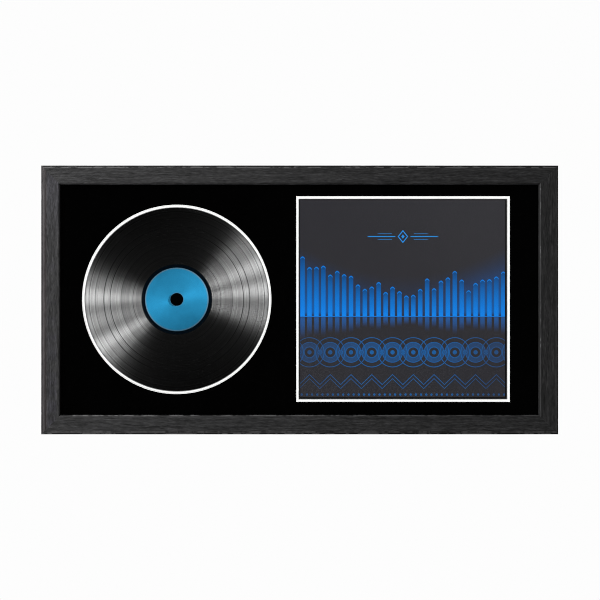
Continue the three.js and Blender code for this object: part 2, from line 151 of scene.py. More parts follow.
def loft(rings, capped=True, closed=False):
    """rings is (m, n, 3): closed rings joined one after the other. Returns points and faces."""
    rings = np.asarray(rings, float)
    m, n = rings.shape[:2]
    faces = grid_faces(m, n, wrap_rows=closed, wrap_columns=True).tolist()
    if capped and not closed:
        faces.append(list(range(n)))
        faces.append([(m - 1) * n + i for i in range(n)][::-1])
    return rings.reshape(-1, 3), faces


def lathe(profile, sides, x=0.0, z=0.0):
    """A body turned about the Y direction through (x, z). profile is [radius, y]: it starts and ends on the axis, or closes on itself."""
    profile = [tuple(p) for p in profile]
    solid = profile[0][0] < 1e-9 and profile[-1][0] < 1e-9
    a = np.arange(sides) * (2 * math.pi / sides)
    circle = np.stack([np.cos(a), np.zeros(sides), np.sin(a)], 1)
    body = profile[1:-1] if solid else profile
    r = np.array([p[0] for p in body])
    y = np.array([p[1] for p in body])
    co = circle[None] * r[:, None, None]
    co[:, :, 1] += y[:, None]
    co = co.reshape(-1, 3)
    m = len(body)
    faces = grid_faces(m, sides, wrap_rows=not solid, wrap_columns=True).tolist()
    if solid:
        co = np.vstack([co, [0, profile[0][1], 0], [0, profile[-1][1], 0]])
        first, last = len(co) - 2, len(co) - 1
        for i in range(sides):
            j = (i + 1) % sides
            faces.append([first, i, j])
            faces.append([last, (m - 1) * sides + j, (m - 1) * sides + i])
    co = co + np.array([x, 0, z])
    return co, faces


def bend(cx, cy, r, start, end, steps):
    """Points of an arc, angles in degrees."""
    a = np.radians(np.linspace(start, end, steps + 1))
    return [(cx + r * math.cos(t), cy + r * math.sin(t)) for t in a]


def run(a, b, steps):
    """Points of a straight line after a, up to and with b."""
    return [(a[0] + (b[0] - a[0]) * i / steps, a[1] + (b[1] - a[1]) * i / steps) for i in range(1, steps + 1)]


def rounded_slab(x0, x1, y0, y1, z0, z1, r, steps=3):
    """A board with eased edges, as points and faces."""
    bm = bmesh.new()
    bmesh.ops.create_cube(bm, size=1.0)
    for v in bm.verts:
        v.co = Vector((x0 if v.co.x < 0 else x1, y0 if v.co.y < 0 else y1, z0 if v.co.z < 0 else z1))
    bmesh.ops.bevel(bm, geom=list(bm.edges), offset=r, segments=steps, profile=0.5, affect="EDGES", clamp_overlap=True)
    bm.verts.index_update()
    co = np.array([v.co[:] for v in bm.verts])
    faces = [[v.index for v in f.verts] for f in bm.faces]
    bm.free()
    return co, faces


def cut(co, faces, tools):
    """Points and faces of the body less each tool, all closed."""
    objects = []
    for k, (c, f) in enumerate([(co, faces), *tools]):
        c = np.asarray(c, float)
        f = [list(x) for x in f]
        if signed_volume(c, f) < 0:
            f = [x[::-1] for x in f]
        me = bpy.data.meshes.new(f"cut_{k}")
        me.from_pydata(c.tolist(), [], f)
        ob = bpy.data.objects.new(f"cut_{k}", me)
        scene.collection.objects.link(ob)
        objects.append(ob)
    body = objects[0]
    for tool in objects[1:]:
        mod = body.modifiers.new("cut", "BOOLEAN")
        mod.operation, mod.solver, mod.object = "DIFFERENCE", "EXACT", tool
    bpy.context.view_layer.update()
    done = body.evaluated_get(bpy.context.evaluated_depsgraph_get()).to_mesh()
    out = np.array([v.co[:] for v in done.vertices])
    out_faces = [list(p.vertices) for p in done.polygons]
    body.to_mesh_clear()
    for ob in objects:
        me = ob.data
        bpy.data.objects.remove(ob)
        bpy.data.meshes.remove(me)
    return out, out_faces


# ------------------------------------------------------------------ material helpers


class Mat:
    """A Principled material with short ways to add procedural nodes."""

    def __init__(self, name):
        self.mat = bpy.data.materials.new(name)
        self.mat.use_nodes = True
        self.tree = self.mat.node_tree
        self.tree.nodes.clear()
        self.out = self.tree.nodes.new("ShaderNodeOutputMaterial")
        self.bsdf = self.tree.nodes.new("ShaderNodeBsdfPrincipled")
        self.tree.links.new(self.bsdf.outputs[0], self.out.inputs["Surface"])

    def put(self, socket, value):
        if isinstance(value, bpy.types.NodeSocket):
            self.tree.links.new(value, socket)
        elif isinstance(value, (tuple, list)) and len(value) == 3 and socket.type == "RGBA":
            socket.default_value = (*value, 1.0)
        else:
            socket.default_value = value

    def set(self, **values):
        for key, value in values.items():
            self.put(self.bsdf.inputs[key.replace("_", " ")], value)
        return self

    def node(self, kind, **props):
        n = self.tree.nodes.new(kind)
        for k, v in props.items():
            setattr(n, k, v)
        return n

    def math(self, op, a, b=0.0, c=0.0, clamp=False):
        n = self.node("ShaderNodeMath", operation=op, use_clamp=clamp)
        for i, v in enumerate((a, b, c)):
            self.put(n.inputs[i], v)
        return n.outputs[0]

    def span(self, v, a, b, c=0.0, d=1.0, smooth=False):
        """v carried from a..b to c..d, clamped."""
        n = self.node("ShaderNodeMapRange", interpolation_type="SMOOTHSTEP" if smooth else "LINEAR", clamp=True)
        for i, x in enumerate((v, a, b, c, d)):
            self.put(n.inputs[i], x)
        return n.outputs[0]

    def place(self):
        """The piece's own coordinates in millimetres."""
        n = self.node("ShaderNodeTexCoord")
        return self.scaled(n.outputs["Object"], 1000.0, 1000.0, 1000.0)

    def scaled(self, v, x, y, z, shift=(0, 0, 0)):
        n = self.node("ShaderNodeMapping")
        self.put(n.inputs["Vector"], v)
        n.inputs["Scale"].default_value = (x, y, z)
        n.inputs["Location"].default_value = shift
        return n.outputs[0]

    def split(self, v):
        n = self.node("ShaderNodeSeparateXYZ")
        self.put(n.inputs[0], v)
        return n.outputs[0], n.outputs[1], n.outputs[2]

    def join(self, x, y, z):
        n = self.node("ShaderNodeCombineXYZ")
        for i, v in enumerate((x, y, z)):
            self.put(n.inputs[i], v)
        return n.outputs[0]

    def noise(self, v, scale=1.0, detail=2.0, roughness=0.5, distortion=0.0):
        n = self.node("ShaderNodeTexNoise", noise_dimensions="3D")
        self.put(n.inputs["Vector"], v)
        n.inputs["Scale"].default_value = scale
        n.inputs["Detail"].default_value = detail
        n.inputs["Roughness"].default_value = roughness
        n.inputs["Distortion"].default_value = distortion
        return n.outputs[0]

    def noise1(self, w, scale=1.0, detail=2.0, roughness=0.5):
        n = self.node("ShaderNodeTexNoise", noise_dimensions="1D")
        self.put(n.inputs["W"], w)
        n.inputs["Scale"].default_value = scale
        n.inputs["Detail"].default_value = detail
        n.inputs["Roughness"].default_value = roughness
        return n.outputs[0]

    def ramp(self, fac, stops, mode="LINEAR"):
        n = self.node("ShaderNodeValToRGB")
        n.color_ramp.interpolation = mode
        e = n.color_ramp.elements
        while len(e) < len(stops):
            e.new(1.0)
        for el, (pos, col) in zip(e, stops):
            el.position = pos
            el.color = (*col, 1.0) if isinstance(col, (tuple, list)) else (col, col, col, 1.0)
        self.put(n.inputs[0], fac)
        return n.outputs[0]

    def mix(self, fac, a, b, mode="MIX"):
        n = self.node("ShaderNodeMix", data_type="RGBA", blend_type=mode)
        self.put(n.inputs[0], fac)
        self.put(n.inputs[6], a)
        self.put(n.inputs[7], b)
        return n.outputs[2]

    def bump(self, height, strength, distance):
        """distance in millimetres."""
        n = self.node("ShaderNodeBump")
        n.inputs["Strength"].default_value = strength
        n.inputs["Distance"].default_value = distance * 0.001
        self.put(n.inputs["Height"], height)
        self.put(self.bsdf.inputs["Normal"], n.outputs[0])
        return self

    def radius(self, p, x, z):
        """Distance from the Y line through (x, z), in millimetres."""
        px, _, pz = self.split(p)
        dx = self.math("SUBTRACT", px, x)
        dz = self.math("SUBTRACT", pz, z)
        return self.math("SQRT", self.math("ADD", self.math("MULTIPLY", dx, dx), self.math("MULTIPLY", dz, dz)))


# ------------------------------------------------------------------ materials


def wood(name, side, seed, tone, finish):
    """Black-stained open-grain wood. The grain runs along X, or along Z in the stiles."""
    m = Mat(name)
    p = m.place()
    x, y, z = m.split(p)
    along, across = (z, x) if side in ("left", "right") else (x, z)
    # the section's own way across: the front's width and the depth together
    depth = m.math("MULTIPLY", y, 0.9)
    wander = m.noise(m.join(m.math("MULTIPLY", along, 1 / 90), m.math("MULTIPLY", across, 1 / 24), seed), 1.0, 1.0)
    drift = m.math("MULTIPLY", m.math("SUBTRACT", wander, 0.5), 11.0)
    a = m.math("ADD", across, drift)

    def grain(long, wide, shift, detail=2.0, rough=0.5):
        v = m.join(
            m.math("MULTIPLY", along, 1 / long),
            m.math("MULTIPLY", a, 1 / wide),
            m.math("ADD", m.math("MULTIPLY", depth, 1 / wide), shift),
        )
        return m.noise(v, 1.0, detail, rough)

    bands = grain(120.0, 4.6, seed * 1.7)
    streaks = grain(30.0, 2.0, seed * 4.3 + 2.0, 1.0)
    flecks = grain(8.5, 2.15, seed * 2.3 + 4.0, 1.0)
    fine = grain(30.0, 0.8, seed * 2.9 + 6.0, 3.0, 0.6)
    pores = grain(11.0, 0.5, seed * 3.1 + 9.0, 1.0)
    knots = grain(20.0, 2.1, seed * 5.7 + 1.0, 1.0)
    hair = m.noise(m.join(m.math("MULTIPLY", along, 1 / 3.4), m.math("MULTIPLY", a, 1 / 0.2), m.math("ADD", m.math("MULTIPLY", depth, 1 / 0.2), seed)), 1.0, 2.0, 0.6)
    patch = m.noise(m.join(m.math("MULTIPLY", along, 1 / 48), m.math("MULTIPLY", across, 1 / 14), seed), 1.0, 1.0)
    # how much light the stain gives back, as a factor that varies from band to band
    level = m.math("MULTIPLY", m.span(bands, 0.28, 0.72, 0.68, 1.28), m.span(streaks, 0.27, 0.73, 0.64, 1.38))
    level = m.math("MULTIPLY", level, m.span(flecks, 0.27, 0.73, 0.54, 1.53))
    level = m.math("MULTIPLY", level, m.span(fine, 0.3, 0.7, 0.86, 1.12))
    level = m.math("MULTIPLY", level, m.math("MULTIPLY", m.span(hair, 0.36, 0.62, 0.72, 1.12), m.span(hair, 0.62, 0.72, 1.0, 1.18)))
    pore = m.math("MULTIPLY", m.span(pores, 0.58, 0.68), m.span(bands, 0.65, 0.4, 0.25, 1.0))
    level = m.math("MULTIPLY", level, m.math("SUBTRACT", 1.0, m.math("MULTIPLY", pore, 0.7)))
    deep = m.math("MULTIPLY", m.span(knots, 0.655, 0.72), m.span(patch, 0.45, 0.6))
    level = m.math("MULTIPLY", level, m.math("SUBTRACT", 1.0, m.math("MULTIPLY", deep, 0.8)))
    # tone scales each piece's stain: painted light, lighter on the left stile and darker on the right one
    colour = m.mix(m.math("MULTIPLY", level, 0.4), (0.0, 0.0, 0.0), tuple(c * tone * 2.5 for c in (0.0212, 0.0210, 0.0216)))
    u = {
        "top": lambda: m.math("SUBTRACT", FRAME_H / 2, z), "bottom": lambda: m.math("ADD", FRAME_H / 2, z),
        "left": lambda: m.math("ADD", FRAME_W / 2, x), "right": lambda: m.math("SUBTRACT", FRAME_W / 2, x),
    }[side]()
    front = m.span(y, -20.3, -19.3, 1.0, 0.0) if side == "right" else m.span(y, -21.0, -20.2, 1.0, 0.0)
    colour = finish(m, colour, u, along, front)
    if side == "right":
        # painted light: the outer side face is made 1.7 times lighter than the front, to stand in for light it lacks
        outer = m.math("MULTIPLY", m.span(y, -19.6, -18.8), m.span(u, 0.6, 1.4, 1.0, 0.0))
        colour = m.mix(outer, colour, m.mix(1.0, colour, (1.7, 1.7, 1.7), "MULTIPLY"))
    rough = m.math("ADD", m.span(fine, 0.2, 0.8, 0.50, 0.66), m.math("MULTIPLY", pore, 0.2))
    m.set(Base_Color=colour, Roughness=rough, IOR=1.5, Specular_IOR_Level=0.28)
    height = m.math("ADD", m.math("MULTIPLY", fine, 0.35), m.math("MULTIPLY", bands, 0.5))
    height = m.math("ADD", height, m.math("MULTIPLY", flecks, 0.55))
    height = m.math("SUBTRACT", height, m.math("ADD", m.math("MULTIPLY", pore, 0.8), m.math("MULTIPLY", deep, 0.6)))
    height = m.math("ADD", height, m.math("MULTIPLY", m.span(hair, 0.36, 0.56), 0.35))
    m.bump(height, 0.6, 0.2)
    return m.mat


# dark and light finish colours: stain and wear, and also painted shade and painted highlights on the rails' edges
INK_AND_SHADE, WORN_AND_HIGHLIGHT = (0.0012, 0.0012, 0.0014), (0.062, 0.061, 0.062)


def dashes(m, along, long, shift, low=0.42, high=0.52):
    return m.span(m.noise(m.join(m.math("MULTIPLY", along, 1 / long), shift, 0.5), 1.0, 2.0, 0.6), low, high)


def strip(m, u, a, b, soft=0.5):
    """1 between a and b millimetres from the outer edge."""
    return m.math("MULTIPLY", m.span(u, a - soft, a + soft), m.span(u, b - soft, b + soft, 1.0, 0.0))


def finish_top(m, colour, u, along, front):
    """Stain lies thick in dashes along the outer arris, with worn dashes beside it that are also a painted highlight
    where the arris faces up to the light.
    """
    dark = m.math("MULTIPLY", strip(m, u, -1.0, 2.2, 0.3), dashes(m, along, 17.0, 3.1, 0.44, 0.50))
    # lighter dashes beside the arris: wear and a painted highlight
    worn = m.math("MULTIPLY", strip(m, u, 1.9, 3.8, 0.4), dashes(m, along, 13.0, 8.7, 0.40, 0.50))
    colour = m.mix(m.math("MULTIPLY", m.math("MULTIPLY", worn, 0.9), front), colour, tuple(c * 1.5 for c in WORN_AND_HIGHLIGHT))
    return m.mix(m.math("MULTIPLY", dark, m.span(front, 0.0, 1.0, 0.5, 1.0)), colour, tuple(c * 0.4 for c in INK_AND_SHADE))


def finish_bottom(m, colour, u, along, front):
    turns = dashes(m, along, 15.0, 5.3, 0.44, 0.52)
    # painted shade: dark dashes along the outer arris, which faces down, away from the light
    dark = m.math("MULTIPLY", strip(m, u, -1.0, 2.0, 0.3), turns)
    bare = m.math("MULTIPLY", strip(m, u, 0.3, 2.2, 0.3), m.math("SUBTRACT", 1.0, turns))
    worn = m.math("MULTIPLY", strip(m, u, 2.4, 5.0, 0.5), dashes(m, along, 17.0, 2.2, 0.46, 0.58))
    short = m.math("MULTIPLY", strip(m, u, 1.8, 5.4, 0.5), dashes(m, along, 9.0, 7.4, 0.56, 0.62))
    # painted highlight on the sight edge's round-over, which faces up, strongest at the left where the light comes from
    sight = m.math("MULTIPLY", strip(m, u, 27.3, 29.3, 0.3), m.math("MULTIPLY", dashes(m, along, 15.0, 1.6, 0.42, 0.56), m.span(along, -380.0, 300.0, 1.0, 0.35)))
    colour = m.mix(m.math("MULTIPLY", m.math("MULTIPLY", worn, 0.5), front), colour, WORN_AND_HIGHLIGHT)
    colour = m.mix(m.math("MULTIPLY", m.math("MULTIPLY", bare, 0.7), front), colour, WORN_AND_HIGHLIGHT)
    colour = m.mix(m.math("MULTIPLY", short, 0.6), colour, INK_AND_SHADE)
    colour = m.mix(sight, colour, tuple(c * 2.1 for c in WORN_AND_HIGHLIGHT))
    return m.mix(m.math("MULTIPLY", dark, m.span(front, 0.0, 1.0, 0.35, 0.9)), colour, INK_AND_SHADE)


def finish_left(m, colour, u, along, front):
    """A warm outer strip with a lighter streak that is a painted highlight, a thin dark line, painted shade along the
    sight edge, and a few cool patches.
    """
    hue = m.math("MULTIPLY", strip(m, u, 0.0, 8.2, 0.9), 0.9)
    hue = m.math("MULTIPLY", hue, m.span(front, 0.0, 1.0, 0.3, 1.0))
    # painted highlight: a lighter streak on the outer strip, which faces the light, stronger towards the top
    warm = m.math("MULTIPLY", strip(m, u, 2.4, 5.0, 0.6), m.math("MULTIPLY", dashes(m, along, 40.0, 6.6, 0.18, 0.5), front))
    warm = m.math("MULTIPLY", warm, m.span(along, -160.0, 120.0, 0.42, 0.66))
    line = m.math("MULTIPLY", strip(m, u, 5.3, 7.2, 0.4), m.math("MULTIPLY", dashes(m, along, 34.0, 4.2, 0.22, 0.46), front))
    outer = m.math("MULTIPLY", strip(m, u, -1.0, 2.2, 0.4), 0.22)
    cool = m.math("MULTIPLY", strip(m, u, 9.0, 23.0, 1.4), dashes(m, along, 30.0, 9.3, 0.46, 0.60))
    high = m.span(along, 60.0, 190.0, smooth=True)
    # painted shade along the sight edge, which faces away from the light
    shade = m.math("MULTIPLY", strip(m, u, 27.3, 30.0, 0.5), 0.9)
    colour = m.mix(hue, colour, m.mix(1.0, colour, (1.10, 0.95, 0.97), "MULTIPLY"))
    colour = m.mix(warm, colour, (0.080, 0.073, 0.075))
    colour = m.mix(m.math("MULTIPLY", line, 0.55), colour, (0.0130, 0.0088, 0.0090))
    colour = m.mix(outer, colour, INK_AND_SHADE)
    colour = m.mix(shade, colour, INK_AND_SHADE)
    cool = m.math("MULTIPLY", m.math("MAXIMUM", cool, m.math("MULTIPLY", high, 0.8)), strip(m, u, 8.6, 30.0, 0.9))
    colour = m.mix(cool, colour, m.mix(1.0, colour, (1.02, 0.99, 1.16), "MULTIPLY"))
    return m.mix(high, colour, m.mix(1.0, colour, (1.16, 1.16, 1.16), "MULTIPLY"))


def finish_right(m, colour, u, along, front):
    # painted shade: dark dashes along the outer arris, which faces away from the light
    dark = m.math("MULTIPLY", strip(m, u, -1.0, 1.9, 0.3), dashes(m, along, 30.0, 2.3, 0.1, 0.28))
    worn = m.math("MULTIPLY", strip(m, u, 1.6, 4.2, 0.6), dashes(m, along, 26.0, 7.1, 0.34, 0.56))
    # painted highlight: lighter dashes, glints and an inner strip on the sight edge's round-over and lip, which face
    # left, towards the light
    sight = m.math("MULTIPLY", strip(m, u, 25.8, 27.0, 0.25), dashes(m, along, 34.0, 5.2, 0.25, 0.5))
    glint = m.math("MULTIPLY", strip(m, u, 25.8, 26.9, 0.2), dashes(m, along, 11.0, 9.4, 0.54, 0.66))
    # painted shade: dark lines on the sight edge's round-over and at its start
    painted_edge_shade = m.math("MAXIMUM", strip(m, u, 27.2, 28.4, 0.25), m.math("MULTIPLY", strip(m, u, 23.9, 25.6, 0.3), 0.45))
    figure = m.noise(m.join(m.math("MULTIPLY", along, 1 / 24), m.math("MULTIPLY", u, 1 / 2.6), 3.7), 1.0, 2.0, 0.6)
    shade = m.mix(m.span(figure, 0.3, 0.7), (0.78, 0.77, 0.77), (1.27, 1.25, 1.25))
    colour = m.mix(m.math("MULTIPLY", front, 0.9), colour, m.mix(1.0, colour, shade, "MULTIPLY"))
    inner = m.math("MULTIPLY", strip(m, u, 28.5, 30.0, 0.3), dashes(m, along, 40.0, 8.8, 0.2, 0.4))
    colour = m.mix(m.math("MULTIPLY", painted_edge_shade, 0.62), colour, (0.005, 0.005, 0.0052))
    colour = m.mix(m.math("MULTIPLY", m.math("MULTIPLY", worn, 0.16), front), colour, WORN_AND_HIGHLIGHT)
    colour = m.mix(m.math("MULTIPLY", sight, 0.5), colour, WORN_AND_HIGHLIGHT)
    colour = m.mix(m.math("MULTIPLY", glint, 0.8), colour, tuple(c * 2.2 for c in WORN_AND_HIGHLIGHT))
    colour = m.mix(m.math("MULTIPLY", inner, 0.8), colour, WORN_AND_HIGHLIGHT)
    return m.mix(m.math("MULTIPLY", dark, m.span(front, 0.0, 1.0, 0.35, 0.97)), colour, INK_AND_SHADE)


# painted light: the tone factors make the left stile lighter and the right stile darker, with the rails between, as
# light from the left falls
WOOD = {
    "top": wood("wood_rail_top", "top", 1.3, 1.02, finish_top),
    "bottom": wood("wood_rail_bottom", "bottom", 5.1, 0.98, finish_bottom),
    "left": wood("wood_stile_left", "left", 8.6, 1.17, finish_left),
    "right": wood("wood_stile_right", "right", 12.9, 0.87, finish_right),
}


def paper(name, colour, spread=0.12, grain=0.5, roughness=0.9, specular=0.2, bump=0.25):
    """Board or paper: an even tone with fine fibre mottling."""
    m = Mat(name)
    p = m.place()
    fibre = m.noise(m.scaled(p, 1 / grain, 1 / grain, 1 / (grain * 2.4)), 1.0, 4.0, 0.65, 0.6)
    cloud = m.noise(m.scaled(p, 1 / 28, 1 / 28, 1 / 28), 1.0, 2.0)
    tone = m.math("ADD", m.span(fibre, 0.25, 0.75, -spread, spread), m.span(cloud, 0.3, 0.7, -spread * 0.4, spread * 0.4))
    low = tuple(max(0.0, c * (1 - 2 * spread)) for c in colour)
    high = tuple(min(1.0, c * (1 + 2 * spread)) for c in colour)
    m.set(
        Base_Color=m.mix(m.math("ADD", m.math("MULTIPLY", tone, 1 / (4 * spread)), 0.5, clamp=True), low, high),
        Roughness=m.span(fibre, 0.2, 0.8, roughness - 0.06, min(1.0, roughness + 0.06)),
        Specular_IOR_Level=specular,
    )
    m.bump(fibre, bump, 0.05)
    return m.mat


BLACK_PAPER = paper("black_mat_face", (0.0005, 0.0005, 0.0005), 0.2, 0.45, 0.95, 0.0, 0.2)
WHITE_CORE = paper("white_mat_core", (0.86, 0.86, 0.85), 0.02, 0.35, 0.9, 0.1, 0.15)


def inner_core():
    """The inner mat's cut edge: white at the front, with painted shade greying it towards its foot against the picture.
    """
    m = Mat("white_mat_core_inner")
    p = m.place()
    _, y, _ = m.split(p)
    fibre = m.noise(p, 1 / 0.35, 4.0, 0.65)
    # painted shade at the foot of the cut edge
    foot = m.span(y, -11.75, -10.95, smooth=True)
    colour = m.mix(foot, (0.86, 0.86, 0.85), (0.16, 0.16, 0.165))
    m.set(Base_Color=m.mix(m.span(fibre, 0.3, 0.7, 0.0, 0.1), colour, (0.5, 0.5, 0.49)), Roughness=m.span(fibre, 0.2, 0.8, 0.84, 0.94), Specular_IOR_Level=0.1)
    m.bump(fibre, 0.15, 0.05)
    return m.mat


INNER_CORE = inner_core()
WHITE_PAPER = paper("white_mat_face", (0.94, 0.94, 0.93), 0.02, 0.5, 0.9, 0.1, 0.15)
BLACK_BOARD = paper("black_board_face", (0.008, 0.008, 0.009), 0.15, 0.5, 0.9, 0.2)
GREY_BOARD = paper("grey_board_face", (0.32, 0.30, 0.27), 0.1, 0.7, 0.95, 0.15)
FOAM_BOARD = paper("foam_board_face", (0.86, 0.86, 0.84), 0.03, 0.5, 0.85, 0.25)


def vinyl():
    """Pressed black vinyl: concentric grooves spread the light across them, with smooth gaps between tracks."""
    m = Mat("grooved_vinyl")
    p = m.place()
    r = m.radius(p, DISC_X, DISC_Z)
    x, _, z = m.split(p)
    # how much each zone of the pressing shines: (radius, share)
    bands = [
        (0.0, 0.0), (52.4, 0.0), (53.2, 0.12), (53.7, 0.85), (54.6, 0.85), (55.4, 0.74), (60.0, 0.74), (61.2, 0.88),
        (64.2, 0.90), (67.8, 0.92), (71.2, 0.94), (73.2, 0.79), (83.0, 0.79), (85.6, 1.0), (146.2, 1.0), (147.3, 0.25), (151.0, 0.25),
    ]
    band = m.ramp(m.math("DIVIDE", r, 151.0), [(a / 151.0, b) for a, b in bands])
    # the smooth gaps between tracks: (radius, half width, how dark)
    for g, half, dark in (
        (61.0, 0.5, 0.20), (66.0, 0.7, 0.44), (72.6, 0.4, 0.16), (83.8, 0.8, 0.38), (93.0, 0.4, 0.12), (100.2, 0.75, 0.72), (109.7, 0.8, 0.76),
        (117.4, 0.4, 0.18), (122.6, 0.7, 0.48), (131.6, 0.7, 0.46), (139.5, 0.4, 0.18), (143.4, 0.4, 0.16),
    ):
        gap = m.span(m.math("ABSOLUTE", m.math("SUBTRACT", r, g)), half * 0.6, half * 1.2, dark, 0.0)
        band = m.math("MULTIPLY", band, m.math("SUBTRACT", 1.0, gap))
    broad = m.noise1(r, 1 / 3.6, 1.0, 0.5)
    rings = m.noise1(m.math("ADD", r, 17.0), 1 / 1.5, 2.0, 0.6)
    tight = m.noise1(m.math("ADD", r, 40.0), 1 / 0.5, 2.0, 0.6)
    # the rings' strength drifts slowly round the disc
    patch = m.noise(m.scaled(p, 1 / 42, 1 / 42, 1 / 42), 1.0, 1.0)
    level = m.math("MULTIPLY", m.span(broad, 0.27, 0.73, 0.88, 1.10), m.span(rings, 0.27, 0.73, 0.80, 1.18))
    level = m.math("MULTIPLY", level, m.span(tight, 0.25, 0.75, 0.85, 1.12))
    level = m.math("MULTIPLY", level, m.span(patch, 0.3, 0.7, 0.92, 1.05))
    tint = m.math("MULTIPLY", m.math("MULTIPLY", band, level), 0.72, clamp=True)
    m.set(
        Base_Color=m.mix(m.span(r, 53.0, 52.2, smooth=True), m.mix(m.span(rings, 0.3, 0.7), (0.0021, 0.0021, 0.0021), (0.0023, 0.0023, 0.0023)), (0.0004, 0.0012, 0.0022)),
        # under 0.274 the denoiser takes the grooves for a mirror and wipes the rings away
        Roughness=m.span(rings, 0.2, 0.8, 0.2755, 0.284),
        IOR=1.55,
        Specular_IOR_Level=1.0,
        Anisotropic=1.0,
        Anisotropic_Rotation=0.25,
    )
    m.put(m.bsdf.inputs["Specular Tint"], tint)
    tangent = m.node("ShaderNodeTangent", direction_type="RADIAL", axis="Y")
    m.put(m.bsdf.inputs["Tangent"], tangent.outputs[0])
    m.bump(m.math("ADD", m.math("MULTIPLY", rings, 0.6), m.math("MULTIPLY", tight, 0.4)), 0.3, 0.05)
    return m.mat


def label():
    """Satin blue label paper with a lighter rim and a soft pressed sheen."""
    m = Mat("satin_blue_label")
    p = m.place()
    r = m.radius(p, DISC_X, DISC_Z)
    fibre = m.noise(p, 1 / 0.6, 3.0, 0.6)
    cloud = m.noise(p, 1 / 16.0, 2.0, 0.5)
    colour = m.mix(m.span(cloud, 0.3, 0.7), (0.0170, 0.210, 0.392), (0.0200, 0.238, 0.442))
    colour = m.mix(m.span(fibre, 0.3, 0.7, 0.0, 0.12), colour, (0.03, 0.2, 0.36))
    rim = m.span(r, 45.6, 46.6, smooth=True)
    hub = m.math("MULTIPLY", m.span(r, 10.9, 10.4, smooth=True), 0.4)
    colour = m.mix(m.math("MAXIMUM", m.math("MULTIPLY", rim, 0.9), hub), colour, (0.110, 0.215, 0.300))
    colour = m.mix(m.span(r, 47.35, 47.8, smooth=True), colour, (0.014, 0.050, 0.085))
    # painted contact shadow: a dark ring on the label just round the hub cap
    colour = m.mix(m.span(r, 9.75, 9.55, smooth=True), colour, (0.0015, 0.004, 0.008))
    m.set(
        Base_Color=colour, Metallic=0.3, Roughness=m.span(fibre, 0.2, 0.8, 0.6, 0.66), IOR=1.45,
        Specular_IOR_Level=0.0, Anisotropic=0.7, Anisotropic_Rotation=0.25,
    )
    tangent = m.node("ShaderNodeTangent", direction_type="RADIAL", axis="Y")
    m.put(m.bsdf.inputs["Tangent"], tangent.outputs[0])
    m.bump(fibre, 0.12, 0.03)
    return m.mat


